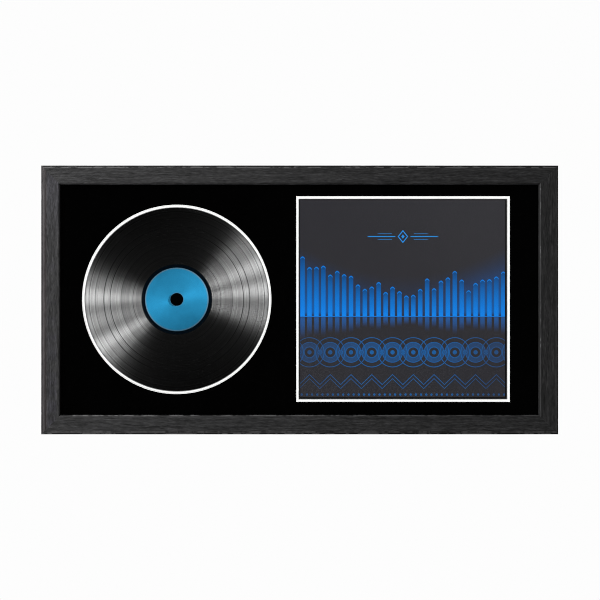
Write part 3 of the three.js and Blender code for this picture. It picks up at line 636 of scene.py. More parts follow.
def print_art():
    """A generic sleeve print: charcoal, a row of glowing level bars, and fine line ornament below."""
    m = Mat("printed_sleeve_card")
    p = m.place()
    x, _, z = m.split(p)
    charcoal, deep, bright, pale = (0.0215, 0.0210, 0.0250), (0.0010, 0.046, 0.165), (0.0012, 0.190, 0.70), (0.012, 0.23, 0.66)
    cx, cz = 155.1, 1.3
    dx = m.math("SUBTRACT", x, cx)
    dz = m.math("SUBTRACT", z, cz)
    adx = m.math("ABSOLUTE", dx)

    # level bars: one per column, standing on a base line, brightest at their feet and at their caps
    pitch, base = 10.4, -26.0
    cell = m.math("FLOOR", m.math("DIVIDE", dx, pitch))
    off = m.math("MULTIPLY", m.math("SUBTRACT", m.math("DIVIDE", dx, pitch), m.math("ADD", cell, 0.5)), pitch)
    aside = m.math("ABSOLUTE", off)
    n = m.node("ShaderNodeTexWhiteNoise", noise_dimensions="1D")
    m.put(n.inputs["W"], m.math("ADD", cell, 47.0))
    swell = m.noise1(m.math("ADD", m.math("MULTIPLY", cell, 0.21), 3.3), 1.0, 1.0)
    outward = m.math("MULTIPLY", m.math("POWER", m.math("DIVIDE", m.math("ABSOLUTE", m.math("ADD", cell, 0.5)), 15.0), 1.8), 30.0)
    height = m.math("ADD", m.math("MULTIPLY", n.outputs["Value"], 26.0), m.span(swell, 0.3, 0.7, 14.0, 52.0))
    height = m.math("ADD", height, outward)
    up = m.math("SUBTRACT", dz, base)
    share = m.math("DIVIDE", up, height)
    top = m.math("SUBTRACT", height, m.math("MULTIPLY", m.math("POWER", m.math("DIVIDE", aside, 3.3), 2.0), 2.6))
    body = m.span(aside, 3.0, 3.7, 1.0, 0.0, True)
    bar = m.math("MULTIPLY", body, m.math("MULTIPLY", m.span(up, -0.4, 0.4), m.span(m.math("SUBTRACT", top, up), -0.3, 0.6)))
    cap = m.math("MULTIPLY", bar, m.span(m.math("SUBTRACT", top, up), 1.4, 2.6, 1.0, 0.0, True))
    glow = m.math("MULTIPLY", m.math("POWER", m.math("SUBTRACT", 1.0, share, clamp=True), 0.85), bar)
    # a soft halo behind the bars, stronger towards both sides
    reach = m.math("ADD", m.math("MULTIPLY", m.math("POWER", m.math("DIVIDE", adx, 156.0), 2.0), 46.0), 62.0)
    halo = m.math("MULTIPLY", m.span(up, -2.0, 8.0, smooth=True), m.math("POWER", m.math("SUBTRACT", 1.0, m.math("DIVIDE", up, reach), clamp=True), 1.3))
    halo = m.math("MULTIPLY", halo, m.span(adx, 0.0, 150.0, 0.30, 1.0, True))
    # their fainter mirror image below the line
    down = m.math("MULTIPLY", m.math("SUBTRACT", base, dz), 2.4)
    below = m.math("MULTIPLY", body, m.math("MULTIPLY", m.span(down, 2.0, 4.0), m.span(m.math("DIVIDE", down, height), 0.1, 1.0, 0.30, 0.0, True)))
    line = m.span(m.math("ABSOLUTE", up), 0.35, 0.9, 0.8, 0.0)

    # fine ornament: interlaced rings, a double zigzag and a dotted line at the foot
    def rings(z0, spacing, radius, width, shift=0.0):
        sdx = m.math("ADD", dx, shift)
        k = m.math("ADD", m.math("FLOOR", m.math("DIVIDE", sdx, spacing)), 0.5)
        found = None
        for step in (-1.0, 0.0, 1.0):
            ox = m.math("SUBTRACT", sdx, m.math("MULTIPLY", m.math("ADD", k, step), spacing))
            oz = m.math("SUBTRACT", dz, z0)
            d = m.math("SQRT", m.math("ADD", m.math("MULTIPLY", ox, ox), m.math("MULTIPLY", oz, oz)))
            if width is None:
                mark = m.span(d, radius - 0.4, radius + 0.4, 1.0, 0.0, True)
            else:
                mark = m.span(m.math("ABSOLUTE", m.math("SUBTRACT", d, radius)), width, width + 0.5, 1.0, 0.0, True)
            found = mark if found is None else m.math("MAXIMUM", found, mark)
        return found

    def zigzag(z0, period, tall, width):
        wave = m.math("MULTIPLY", m.math("SUBTRACT", m.math("PINGPONG", dx, period / 2), period / 4), 4.0 * tall / period)
        return m.span(m.math("ABSOLUTE", m.math("SUBTRACT", m.math("SUBTRACT", dz, z0), wave)), width, width + 0.6, 1.0, 0.0, True)

    lines = m.math("MAXIMUM", rings(-80.0, 31.2, 22.0, 0.35), rings(-80.0, 31.2, 15.0, 0.30))
    lines = m.math("MAXIMUM", lines, rings(-80.0, 31.2, 8.0, 0.45))
    lines = m.math("MAXIMUM", lines, rings(-80.0, 31.2, 3.0, 0.25, 15.6))
    lines = m.math("MAXIMUM", lines, m.math("MAXIMUM", zigzag(-121.0, 31.2, 7.5, 0.4), zigzag(-127.0, 31.2, 7.5, 0.25)))
    lines = m.math("MAXIMUM", lines, rings(-143.5, 7.8, 1.0, 0.45))
    fill = m.math("MULTIPLY", m.math("SUBTRACT", rings(-80.0, 31.2, 14.7, None), rings(-80.0, 31.2, 8.4, None), clamp=True), 0.42)
    fill = m.math("MAXIMUM", fill, m.math("MULTIPLY", rings(-80.0, 31.2, 3.2, None), 0.8))
    fade = m.math("MULTIPLY", m.span(adx, 40.0, 156.0, 1.0, 0.5, True), m.span(dz, -30.0, -60.0, 0.6, 1.0))
    # a small line, diamond, line device near the top
    adz = m.math("ABSOLUTE", m.math("SUBTRACT", dz, 94.0))
    outline = m.math("ABSOLUTE", m.math("SUBTRACT", m.math("ADD", adx, m.math("MULTIPLY", adz, 0.8)), 7.0))
    diamond = m.span(outline, 0.6, 1.2, 1.0, 0.0, True)
    seed = m.span(m.math("ADD", adx, m.math("MULTIPLY", adz, 0.8)), 2.2, 2.8, 1.0, 0.0, True)
    rule = m.math("MULTIPLY", m.span(adz, 0.5, 1.0, 1.0, 0.0, True), m.math("MULTIPLY", m.span(adx, 11.0, 12.0), m.span(adx, 51.0, 54.0, 1.0, 0.0)))
    rule = m.math("MAXIMUM", rule, m.math("MULTIPLY", m.span(m.math("ABSOLUTE", m.math("SUBTRACT", adz, 4.2)), 0.2, 0.6, 0.7, 0.0), m.math("MULTIPLY", m.span(adx, 16.0, 17.0), m.span(adx, 36.0, 39.0, 1.0, 0.0))))
    device = m.math("MAXIMUM", m.math("MAXIMUM", diamond, seed), rule)

    colour = m.mix(m.math("MULTIPLY", halo, 0.85), charcoal, deep)
    colour = m.mix(m.math("MULTIPLY", m.math("POWER", halo, 1.6), 0.42), colour, bright)
    colour = m.mix(m.math("MULTIPLY", bar, 0.9), colour, deep)
    colour = m.mix(m.math("MULTIPLY", glow, 1.0, clamp=True), colour, bright)
    colour = m.mix(m.math("MAXIMUM", m.math("MULTIPLY", cap, 0.75), line), colour, bright)
    colour = m.mix(below, colour, bright)
    colour = m.mix(m.math("MULTIPLY", fill, fade), colour, (0.004, 0.105, 0.34))
    colour = m.mix(m.math("MULTIPLY", m.math("MULTIPLY", lines, 0.78), fade), colour, (0.004, 0.105, 0.34))
    colour = m.mix(m.math("MULTIPLY", device, 0.95), colour, pale)

    # a near-black band shows just inside the window's edge, widest at the right and bottom
    x0, x1, z0, z1 = COVER_WINDOW
    edge = m.math("MAXIMUM", m.span(x, x1 - 3.0, x1 - 2.6), m.span(x, x0 + 1.8, x0 + 1.4))
    edge = m.math("MAXIMUM", edge, m.math("MAXIMUM", m.span(z, z1 - 1.6, z1 - 1.2), m.span(z, z0 + 2.8, z0 + 2.4)))
    colour = m.mix(edge, colour, (0.0008, 0.0008, 0.0008))

    ink = m.noise(p, 1 / 0.35, 3.0, 0.6)
    cloud = m.noise(p, 1 / 30.0, 2.0)
    colour = m.mix(m.span(ink, 0.3, 0.7, 0.0, 0.05), colour, (0.05, 0.05, 0.055))
    m.set(
        Base_Color=m.mix(m.span(cloud, 0.3, 0.7, 0.0, 0.05), colour, (0.012, 0.012, 0.014)),
        Roughness=m.span(ink, 0.2, 0.8, 0.5, 0.58),
        Specular_IOR_Level=0.08,
    )
    m.bump(ink, 0.1, 0.02)
    return m.mat


def plastic(name, colour, roughness, specular=0.3):
    m = Mat(name)
    p = m.place()
    grain = m.noise(p, 1 / 0.5, 3.0, 0.6)
    cloud = m.noise(p, 1 / 6.0, 2.0)
    low, high = tuple(c * 0.8 for c in colour), tuple(c * 1.25 for c in colour)
    m.set(
        Base_Color=m.mix(m.span(cloud, 0.3, 0.7), low, high),
        Roughness=m.span(grain, 0.2, 0.8, roughness - 0.07, roughness + 0.07),
        Specular_IOR_Level=specular,
    )
    m.bump(grain, 0.2, 0.04)
    return m.mat


def fibreboard():
    """Raw medium-density fibreboard: a warm even brown with short fibres and darker flecks."""
    m = Mat("raw_fibreboard")
    p = m.place()
    cloud = m.noise(m.scaled(p, 1 / 60, 1 / 60, 1 / 45), 1.0, 3.0, 0.6)
    fibre = m.noise(m.scaled(p, 1 / 2.6, 1 / 1.2, 1 / 1.1), 1.0, 5.0, 0.7, 1.2)
    fleck = m.noise(m.scaled(p, 1 / 1.5, 1 / 1.5, 1 / 0.7), 1.0, 2.0, 0.5, 0.8)
    colour = m.mix(m.span(cloud, 0.3, 0.7), (0.30, 0.185, 0.098), (0.37, 0.24, 0.135))
    colour = m.mix(m.span(fibre, 0.3, 0.72, 0.0, 0.55), colour, (0.44, 0.30, 0.18))
    colour = m.mix(m.span(fleck, 0.64, 0.74, 0.0, 0.75), colour, (0.13, 0.07, 0.035))
    streak = m.noise(m.scaled(p, 1 / 95, 1 / 9, 1 / 5.5), 1.0, 4.0, 0.62, 0.4)
    colour = m.mix(m.span(streak, 0.46, 0.74, 0.0, 0.5), colour, (0.27, 0.165, 0.088))
    scuff = m.math("MULTIPLY", m.span(m.noise(m.scaled(p, 1 / 120, 1 / 20, 1 / 90), 1.0, 2.0), 0.52, 0.66), m.span(m.noise(m.scaled(p, 1 / 26, 1 / 9, 1 / 2.2), 1.0, 3.0, 0.7), 0.5, 0.7))
    colour = m.mix(m.math("MULTIPLY", scuff, 0.4), colour, (0.50, 0.37, 0.24))
    # dust and handling darken the board towards its edges
    x, _, z = m.split(p)
    rim = m.math("MINIMUM", m.math("SUBTRACT", PACK_W / 2, m.math("ABSOLUTE", x)), m.math("SUBTRACT", PACK_H / 2, m.math("ABSOLUTE", z)))
    grime = m.math("MULTIPLY", m.span(m.math("ADD", rim, m.math("MULTIPLY", m.math("SUBTRACT", cloud, 0.5), 16.0)), 0.0, 17.0, 1.0, 0.0, True), 0.4)
    colour = m.mix(grime, colour, (0.15, 0.092, 0.050))
    m.set(Base_Color=colour, Roughness=m.span(fibre, 0.2, 0.8, 0.74, 0.9), Specular_IOR_Level=0.25)
    m.bump(fibre, 0.35, 0.12)
    return m.mat


def metal(name, colour, roughness, brushed=(1.0, 1.0, 1.0), wear=0.35):
    """Zinc-plated or rolled steel: a slightly cloudy plating with fine scratches."""
    m = Mat(name)
    p = m.place()
    cloud = m.noise(m.scaled(p, 1 / 7, 1 / 7, 1 / 7), 1.0, 3.0, 0.55)
    scratch = m.noise(m.scaled(p, brushed[0] / 0.25, brushed[1] / 0.25, brushed[2] / 0.25), 1.0, 3.0, 0.6, 0.4)
    spots = m.noise(p, 1 / 1.6, 2.0, 0.5)
    low = tuple(c * 0.78 for c in colour)
    tone = m.mix(m.span(cloud, 0.3, 0.7), low, colour)
    tone = m.mix(m.span(spots, 0.6, 0.75, 0.0, wear), tone, (colour[0] * 0.62, colour[1] * 0.60, colour[2] * 0.55))
    m.set(
        Base_Color=tone,
        Metallic=1.0,
        Roughness=m.math("ADD", m.span(cloud, 0.25, 0.75, roughness - 0.06, roughness + 0.08), m.span(scratch, 0.3, 0.7, -0.03, 0.05)),
    )
    m.bump(scratch, 0.22, 0.02)
    return m.mat


def rubber():
    m = Mat("bumper_rubber")
    p = m.place()
    grain = m.noise(p, 1 / 0.7, 3.0, 0.6)
    dust = m.noise(p, 1 / 3.0, 3.0, 0.6)
    m.set(
        Base_Color=m.mix(m.span(dust, 0.5, 0.75, 0.0, 0.45), (0.014, 0.014, 0.015), (0.05, 0.049, 0.047)),
        Roughness=m.span(grain, 0.2, 0.8, 0.6, 0.78),
        Specular_IOR_Level=0.35,
    )
    m.bump(grain, 0.3, 0.06)
    return m.mat


def glass():
    """Picture glass with a low-reflection coating: lamps reach what is behind it."""
    m = Mat("picture_glass")
    m.set(Base_Color=(0.985, 0.992, 0.99), Roughness=0.0, IOR=1.2, Transmission_Weight=1.0)
    return m.mat


VINYL, LABEL, PRINT = vinyl(), label(), print_art()
CAP = plastic("moulded_hub_black", (0.0004, 0.0004, 0.0004), 0.6, 0.0)
HUB = plastic("moulded_stud_black", (0.012, 0.012, 0.013), 0.5)
MDF = fibreboard()
PLATE = metal("zinc_pressed_plate", (0.62, 0.64, 0.66), 0.32, (1.0, 1.0, 0.12))
WIRE = metal("zinc_bright_wire", (0.66, 0.67, 0.69), 0.26, (0.15, 1.0, 1.0), 0.2)
SCREW = metal("zinc_screw_steel", (0.58, 0.60, 0.63), 0.3, (1.0, 1.0, 1.0))
STRIP = metal("rolled_strip_steel", (0.42, 0.42, 0.43), 0.42, (1.0, 1.0, 1.0))
RUBBER, GLASS = rubber(), glass()

# ------------------------------------------------------------------ the moulding


def moulding_section():
    """The section's points (u from the outer edge, v from the back) with how much grain relief each takes."""
    points = [(0.0, 0.6)]
    points += run((0.0, 0.6), (0.0, RAIL_DEPTH - OUTER_ROUND), 22)
    points += bend(OUTER_ROUND, RAIL_DEPTH - OUTER_ROUND, OUTER_ROUND, 180, 90, 5)[1:]
    points += run(points[-1], (RAIL_FACE - SIGHT_ROUND, RAIL_DEPTH), 54)
    points += bend(RAIL_FACE - SIGHT_ROUND, RAIL_DEPTH - SIGHT_ROUND, SIGHT_ROUND, 90, 0, 14)[1:]
    points += run(points[-1], (RAIL_FACE, LIP_BACK), 3)
    visible = len(points)
    points += run((RAIL_FACE, LIP_BACK), (REBATE_U, LIP_BACK), 3)
    points += run((REBATE_U, LIP_BACK), (REBATE_U, 0.0), 4)
    points += run((REBATE_U, 0.0), (0.6, 0.0), 5)
    points = np.array(points)
    weight = np.zeros(len(points))
    weight[:visible] = 1.0
    steps = np.hypot(*np.diff(points, axis=0).T)
    s = np.concatenate([[0], np.cumsum(steps)])
    weight *= ease(s, 0.4, 3.0) * (1 - ease(s, s[visible - 1] - 2.0, s[visible - 1]))
    ahead, behind = np.roll(points, -1, 0), np.roll(points, 1, 0)
    t = ahead - behind
    t /= np.maximum(np.linalg.norm(t, axis=1, keepdims=True), 1e-9)
    normal = np.stack([-t[:, 1], t[:, 0]], 1)  # outwards, for points that run outer side, front, sight edge, back
    return points, s, weight, normal


def rail(side, stands_for):
    points, s, weight, normal = moulding_section()
    across = side in ("top", "bottom")
    length, edge = (FRAME_W, FRAME_H / 2) if across else (FRAME_H, FRAME_W / 2)
    sign = 1 if side in ("top", "right") else -1
    steps = 470 if across else 250
    seed = {"top": 11, "bottom": 23, "left": 37, "right": 53}[side]
    n1, n2, n3, n4, n5 = (Lattice(seed + k) for k in range(5))
    t = np.linspace(-0.5, 0.5, steps + 1)[:, None]
    along = t * (length - 2 * points[None, :, 0] - 0.06)
    q = s[None] + 5.0 * (n1(along / 120 + 7, s[None] / 18) - 0.5) + 1.2 * (n2(along / 36, s[None] / 7) - 0.5)
    bands = n3(along / 150, q / 3.4)
    fine = n4(along / 42, q / 1.15)
    pore = ease(n5(along / 8.5, q / 0.55), 0.66, 0.84) * ease(bands, 0.3, 0.55)
    worn = n2(along / 26 + 50, s[None] * 0 + 3)
    h = 0.13 * (bands - 0.5) + 0.07 * (fine - 0.5) - 0.11 * pore
    # the arris is a little uneven from sanding
    arris = np.exp(-(((s[None] - 22.6) / 1.6) ** 2)) + 0.5 * np.exp(-(((s[None] - 50.0) / 2.2) ** 2))
    h = h - 0.10 * arris * ease(worn, 0.45, 0.85)
    h = h * weight[None]
    u = points[None, :, 0] + normal[None, :, 0] * h
    v = points[None, :, 1] + normal[None, :, 1] * h
    out = sign * (edge - u)
    co = np.stack([along, -v, out], -1) if across else np.stack([out, -v, along], -1)
    co, faces = loft(co)
    return piece(stands_for + "_moulding", co, faces, WOOD[side], stands_for, sharp=48.0)


rails = [rail("top", "rail_top"), rail("bottom", "rail_bottom"), rail("left", "stile_left"), rail("right", "stile_right")]

# V-nails: bent strips driven flush into the back of each mitre
for corner, sx, sz in (("top_left", -1, 1), ("top_right", 1, 1), ("bottom_left", -1, -1), ("bottom_right", 1, -1)):
    for u, which in ((8.5, "outer"), (18.0, "inner")):
        half = 1.66 / 2
        path = [(5.2 * math.cos(half) * k, 5.2 * math.sin(half) * k) for k in np.linspace(1, 0.12, 8)]
        tip = 0.10 * 5.2
        path += [(tip * 0.35, 0.0)]
        path += [(a, -b) for a, b in path[:8][::-1]]
        path = np.array(path)
        # a shallow wave stiffens the strip
        tangent = np.gradient(path, axis=0)
        tangent /= np.linalg.norm(tangent, axis=1, keepdims=True)
        side_way = np.stack([-tangent[:, 1], tangent[:, 0]], 1)
        wave = 0.10 * np.sin(np.arange(len(path)) * 1.7)[:, None]
        rings = []
        for c, w, k in zip(path + side_way * wave, side_way, range(len(path))):
            low = -8.0 + (0.5 if k % 2 else 0.0)
            ring = []
            for o, y in ((-0.25, 0.04), (-0.16, 0.10), (0.16, 0.10), (0.25, 0.04), (0.25, low + 0.9), (0.04, low), (-0.04, low), (-0.25, low + 0.9)):
                a, b = c + w * o
                kk = math.sqrt(0.5)
                ring.append((sx * (FRAME_W / 2 - u) + sx * (-a * kk - b * kk), y, sz * (FRAME_H / 2 - u) + sz * (-a * kk + b * kk)))
            rings.append(ring)
        co, faces = loft(rings)
        piece(f"v_nail_{corner}_{which}_strip", co, faces, STRIP, f"v_nail_{corner}_{which}", sharp=40)

# ------------------------------------------------------------------ glass and mats

glass_pane = nodes["glass_pane"]
glass_pane.data.materials.clear()
glass_pane.data.materials.append(GLASS)
glass_pane.visible_shadow = False
glass_pane.visible_diffuse = False
glass_pane.visible_glossy = False


def mat_board(name, stands_for, y_front, y_rear, grow, face_material, core_material):
    """A board with a round and a square window, both cut at 45 degrees so that the core shows."""
    bm = bmesh.new()
    thick = y_rear - y_front
    sides = 360
    ends = []
    for y, g in ((y_front, grow + thick), (y_rear, grow)):
        loops = []
        w, h = PACK_W / 2, PACK_H / 2
        loops.append([(-w, -h), (w, -h), (w, h), (-w, h)])
        r = 137.7 + g
        loops.append([(DISC_X + r * math.cos(2 * math.pi * i / sides), DISC_Z + r * math.sin(2 * math.pi * i / sides)) for i in range(sides)])
        x0, x1, z0, z1 = COVER_WINDOW
        loops.append([(x0 - g, z0 - g), (x1 + g, z0 - g), (x1 + g, z1 + g), (x0 - g, z1 + g)])
        made = []
        for loop in loops:
            verts = [bm.verts.new((a, y, b)) for a, b in loop]
            made.append(verts)
        edges = [bm.edges.new((vs[i], vs[(i + 1) % len(vs)])) for vs in made for i in range(len(vs))]
        bmesh.ops.triangle_fill(bm, use_beauty=True, use_dissolve=False, edges=edges, normal=Vector((0, -1, 0)))
        ends.append(made)
    core = []
    for k, (front, rear) in enumerate(zip(*ends)):
        n = len(front)
        for i in range(n):
            f = bm.faces.new((front[i], front[(i + 1) % n], rear[(i + 1) % n], rear[i]))
            core.append(f)
    for f in core:
        f.material_index = 1
    bmesh.ops.recalc_face_normals(bm, faces=bm.faces)
    bm.verts.index_update()
    co = np.array([v.co[:] for v in bm.verts])
    faces = [[v.index for v in f.verts] for f in bm.faces]
    slots = [f.material_index for f in bm.faces]
    bm.free()
    return piece(name, co, faces, [face_material, core_material], stands_for, sharp=20, face_slots=slots)


top_mat = mat_board("top_mat_board", "top_mat", -13.7, -12.3, 3.1, BLACK_PAPER, WHITE_CORE)
inner_mat = mat_board("inner_mat_board", "inner_mat", -12.0, -10.6, 0.0, WHITE_PAPER, INNER_CORE)

# ------------------------------------------------------------------ the record


def record_profile():
    """The pressing's section: front side out to the rim, then back. Front faces lower y."""
    ring, tight = Lattice(71), Lattice(72)
    front = [(3.62, -9.6), (3.68, -10.12), (3.9, -10.28), (4.12, -10.3), (4.12, -10.02), (12.0, -10.0), (30.0, -10.0), (48.2, -10.0), (48.3, -10.28), (48.5, -10.34), (49.2, -10.34), (49.9, -10.3)]
    for r in np.arange(50.3, 52.0, 0.35):
        front.append((r, -10.3 + 0.2 * float(ease(r, 49.9, 51.9))))
    gaps = [(54.1, 0.30, -0.05), (66.0, 0.55, 0.035), (100.3, 0.5, 0.05), (109.8, 0.5, 0.05), (122.6, 0.4, 0.03), (131.6, 0.4, 0.03)]
    r = 52.3
    while r < 146.9:
        y = -10.1
        y += 0.022 * float(ring(r / 1.7, 3.0) - 0.5) + 0.012 * (float(tight(r / 0.5, 5.0)) - 0.5)
        for g, width, deep in gaps:
            y += deep * math.exp(-(((r - g) / width) ** 2))
        front.append((r, y))
        r += 0.36
    front += [(147.2, -10.12), (147.8, -10.2), (148.6, -10.26), (149.4, -10.24), (150.1, -10.12), (150.55, -9.9), (150.75, -9.6), (150.8, -9.1)]
    back = [(150.75, -8.6), (150.55, -8.3), (150.1, -8.08), (149.4, -7.96), (148.6, -7.94), (147.6, -8.02), (146.8, -8.1), (132.0, -8.1), (110.0, -8.1), (80.0, -8.1), (54.0, -8.1), (51.7, -8.1), (49.9, -7.9), (48.3, -7.88), (48.2, -8.2), (4.12, -8.2), (4.12, -7.9), (3.7, -8.0), (3.62, -8.4)]
    return front + back


co, faces = lathe(record_profile(), 256, DISC_X, DISC_Z)
record = piece("record_pressing", co, faces, VINYL, "record_disc", sharp=60)

label_profile = [(4.42, -10.06), (4.42, -10.22), (4.6, -10.25), (12.0, -10.25), (20.0, -10.25), (34.0, -10.25), (47.5, -10.25), (47.9, -10.23), (48.0, -10.18), (48.0, -10.06), (34.0, -10.05), (12.0, -10.05)]
co, faces = lathe(label_profile, 192, DISC_X, DISC_Z)
label_front = piece("label_front_paper", co, faces, LABEL, "label_front", sharp=40)

cap_profile = [(0.0, -7.2), (1.6, -7.2), (2.0, -7.6), (2.0, -10.5), (2.2, -10.6), (8.85, -10.6), (9.07, -10.64), (9.15, -10.75), (9.15, -11.3)]
cap_profile += [(9.15 - 0.6 + 0.6 * math.cos(a), -11.3 - 0.6 * math.sin(a)) for a in np.radians([18, 36, 54, 72, 90])]
cap_profile += [(7.4, -11.9), (6.9, -11.86), (6.5, -11.8), (4.0, -11.79), (1.6, -11.79), (1.3, -11.83), (0.0, -11.86)]
co, faces = lathe(cap_profile, 96, DISC_X, DISC_Z)
hub_cap = piece("hub_cap_moulding", co, faces, CAP, "hub_cap", sharp=50)

co, faces = rounded_slab(-2.4, 312.6, -10.3, -9.8, -157.0, 158.0, 0.1, 2)
cover = piece("cover_card_print", co, faces, PRINT, "cover_card", sharp=60)

# ------------------------------------------------------------------ the back

co, faces = rounded_slab(-PACK_W / 2, PACK_W / 2, -3.0, 0.0, -PACK_H / 2, PACK_H / 2, 0.35, 3)
backing = piece("backing_board_panel", co, faces, MDF, "backing_board", sharp=60)

# inside pieces keep their CAD shapes and get their finish
for node, material in (
    ("label_back", LABEL), ("hub_base", HUB), ("cover_backer", FOAM_BOARD), ("spacer_top", GREY_BOARD), ("spacer_bottom", GREY_BOARD),
    ("spacer_left", GREY_BOARD), ("spacer_right", GREY_BOARD), ("spacer_centre", GREY_BOARD), ("mount_board", BLACK_BOARD),
):
    nodes[node].data.materials.clear()
    nodes[node].data.materials.append(material)


def button_mesh():
    """A pressed steel turn button, pivot at the origin, tip towards +Z, from y 0.3 to 1.5."""
    r0, r1, reach = 6.0, 4.5, 16.0
    centre = reach - r1
    count = 80

    def outline(inset, hole=False):
        a, b = r0 - inset, r1 - inset
        lean = math.asin((a - b) / centre)
        pts = []
        for i in range(count // 2):
            t = math.pi - lean + (math.pi + 2 * lean) * i / (count // 2 - 1)
            pts.append((a * math.cos(t), a * math.sin(t)))
        for i in range(count // 2):
            t = lean + (math.pi - 2 * lean) * i / (count // 2 - 1)
            pts.append((b * math.cos(t), centre + b * math.sin(t)))
        return pts

    def circle(r):
        # each point lies towards the outline's point, so that the quads stay tidy
        return [(r * p[0] / math.hypot(*p), r * p[1] / math.hypot(*p)) for p in outline(0.0)]

    def even_circle(r):
        angles = np.unwrap([math.atan2(p[1], p[0]) for p in outline(0.0)])
        return [(r * math.cos(t), r * math.sin(t)) for t in angles]

    rings = []
    add = lambda pts, y: rings.append([(p[0], y, p[1]) for p in pts])
    add(even_circle(1.95), 0.3)
    add(outline(0.35), 0.3)
    add(outline(0.1), 0.38)
    add(outline(0.0), 0.55)
    add(outline(0.0), 1.18)
    add(outline(0.08), 1.36)
    add(outline(0.24), 1.46)
    add(outline(0.5), 1.5)
    add(outline(1.15), 1.5)
    add(outline(1.4), 1.44)
    add(outline(1.75), 1.34)
    add(outline(2.05), 1.30)
    add(even_circle(2.35), 1.30)
    add(even_circle(2.1), 1.27)
    add(even_circle(1.95), 1.12)
    co, faces = loft(rings, closed=True)
    return co, faces


def make_mesh(name, co, faces, material, sharp):
    co = np.asarray(co, float)
    faces = [list(f) for f in faces]
    if signed_volume(co, faces) < 0:
        faces = [f[::-1] for f in faces]
    mesh = bpy.data.meshes.new(name)
    mesh.from_pydata((co * 0.001).tolist(), [], faces)
    mesh.materials.append(material)
    mesh.shade_smooth()
    mesh.set_sharp_from_angle(angle=math.radians(sharp))
    return mesh


def screw_mesh():
    """A pan-head wood screw along Y: the head's underside is at y 0 and its point at -10.8."""
    sides = 48
    head = [(1.45, -0.02), (3.1, 0.0), (3.26, 0.06), (3.3, 0.2), (3.3, 0.5), (3.22, 0.8), (3.02, 1.08), (2.68, 1.32), (2.2, 1.48), (1.6, 1.57), (0.9, 1.6), (0.0, 1.6)]
    co, faces = lathe([(0.0, -0.02)] + head, sides)
    tools = []
    for turn in (0.0, math.pi / 2):
        block = []
        for y, l, w in ((0.5, 1.25, 0.26), (1.0, 1.62, 0.38), (2.2, 1.95, 0.5)):
            ring = [(-l, -w), (-l * 0.92, -w), (l * 0.92, -w), (l, -w), (l, w), (l * 0.92, w), (-l * 0.92, w), (-l, w)]
            c, s = math.cos(turn), math.sin(turn)
            block.append([(a * c - b * s, y, a * s + b * c) for a, b in ring])
        tools.append(loft(block))
    co, faces = cut(co, faces, tools)
    # the shank: a single-start thread that fades into the point
    rows, around, pitch = 64, 20, 1.25
    y = np.linspace(-10.8, -0.0, rows)[:, None]
    a = (np.arange(around) * 2 * math.pi / around)[None]
    phase = (y / pitch - a / (2 * math.pi)) % 1.0
    crest = np.clip(1 - np.abs(phase - 0.5) / 0.22, 0, 1)
    core = 1.12 * ease(y, -10.85, -8.2) + 0.04
    thread = 0.36 * ease(y, -10.4, -8.6) * (1 - ease(y, -2.6, -1.9)) * crest
    plain = 0.33 * ease(y, -2.6, -1.9)
    rad = core + thread + plain
    ring = np.stack([rad * np.cos(a), np.broadcast_to(y, rad.shape), rad * np.sin(a)], -1)
    shank, shank_faces = loft(ring)
    if signed_volume(np.asarray(shank), shank_faces) < 0:
        shank_faces = [f[::-1] for f in shank_faces]
    if signed_volume(np.asarray(co), faces) < 0:
        faces = [f[::-1] for f in faces]
    offset = len(co)
    return np.vstack([co, shank]), faces + [[i + offset for i in f] for f in shank_faces]


co, faces = button_mesh()
BUTTON_MESH = make_mesh("turn_button_plate", co, faces, PLATE, 30)
co, faces = screw_mesh()
SCREW_MESH = make_mesh("pan_head_screw", co, faces, SCREW, 32)

BUTTONS = {
    "top_left": (-250.0, 186.5, math.pi), "top_centre": (0.0, 186.5, math.pi), "top_right": (250.0, 186.5, math.pi),
    "bottom_left": (-250.0, -186.5, 0.0), "bottom_centre": (0.0, -186.5, 0.0), "bottom_right": (250.0, -186.5, 0.0),
    "side_left": (-372.5, 0.0, math.pi / 2), "side_right": (372.5, 0.0, -math.pi / 2),
}
turns = np.random.default_rng(5)
for name, (x, z, turn) in BUTTONS.items():
    at = Matrix.Translation((x * 0.001, 0.0, z * 0.001)) @ Matrix.Rotation(turn, 4, "Y")
    place(f"turn_button_{name}_plate", BUTTON_MESH, f"button_{name}", f"turn_button_{name}", at)
    spin = Matrix.Rotation(float(turns.uniform(0, math.pi / 2)), 4, "Y")
    at = Matrix.Translation((x * 0.001, 0.0018, z * 0.001)) @ spin
    place(f"turn_button_{name}_screw", SCREW_MESH, f"button_screw_{name}", "frame", at)


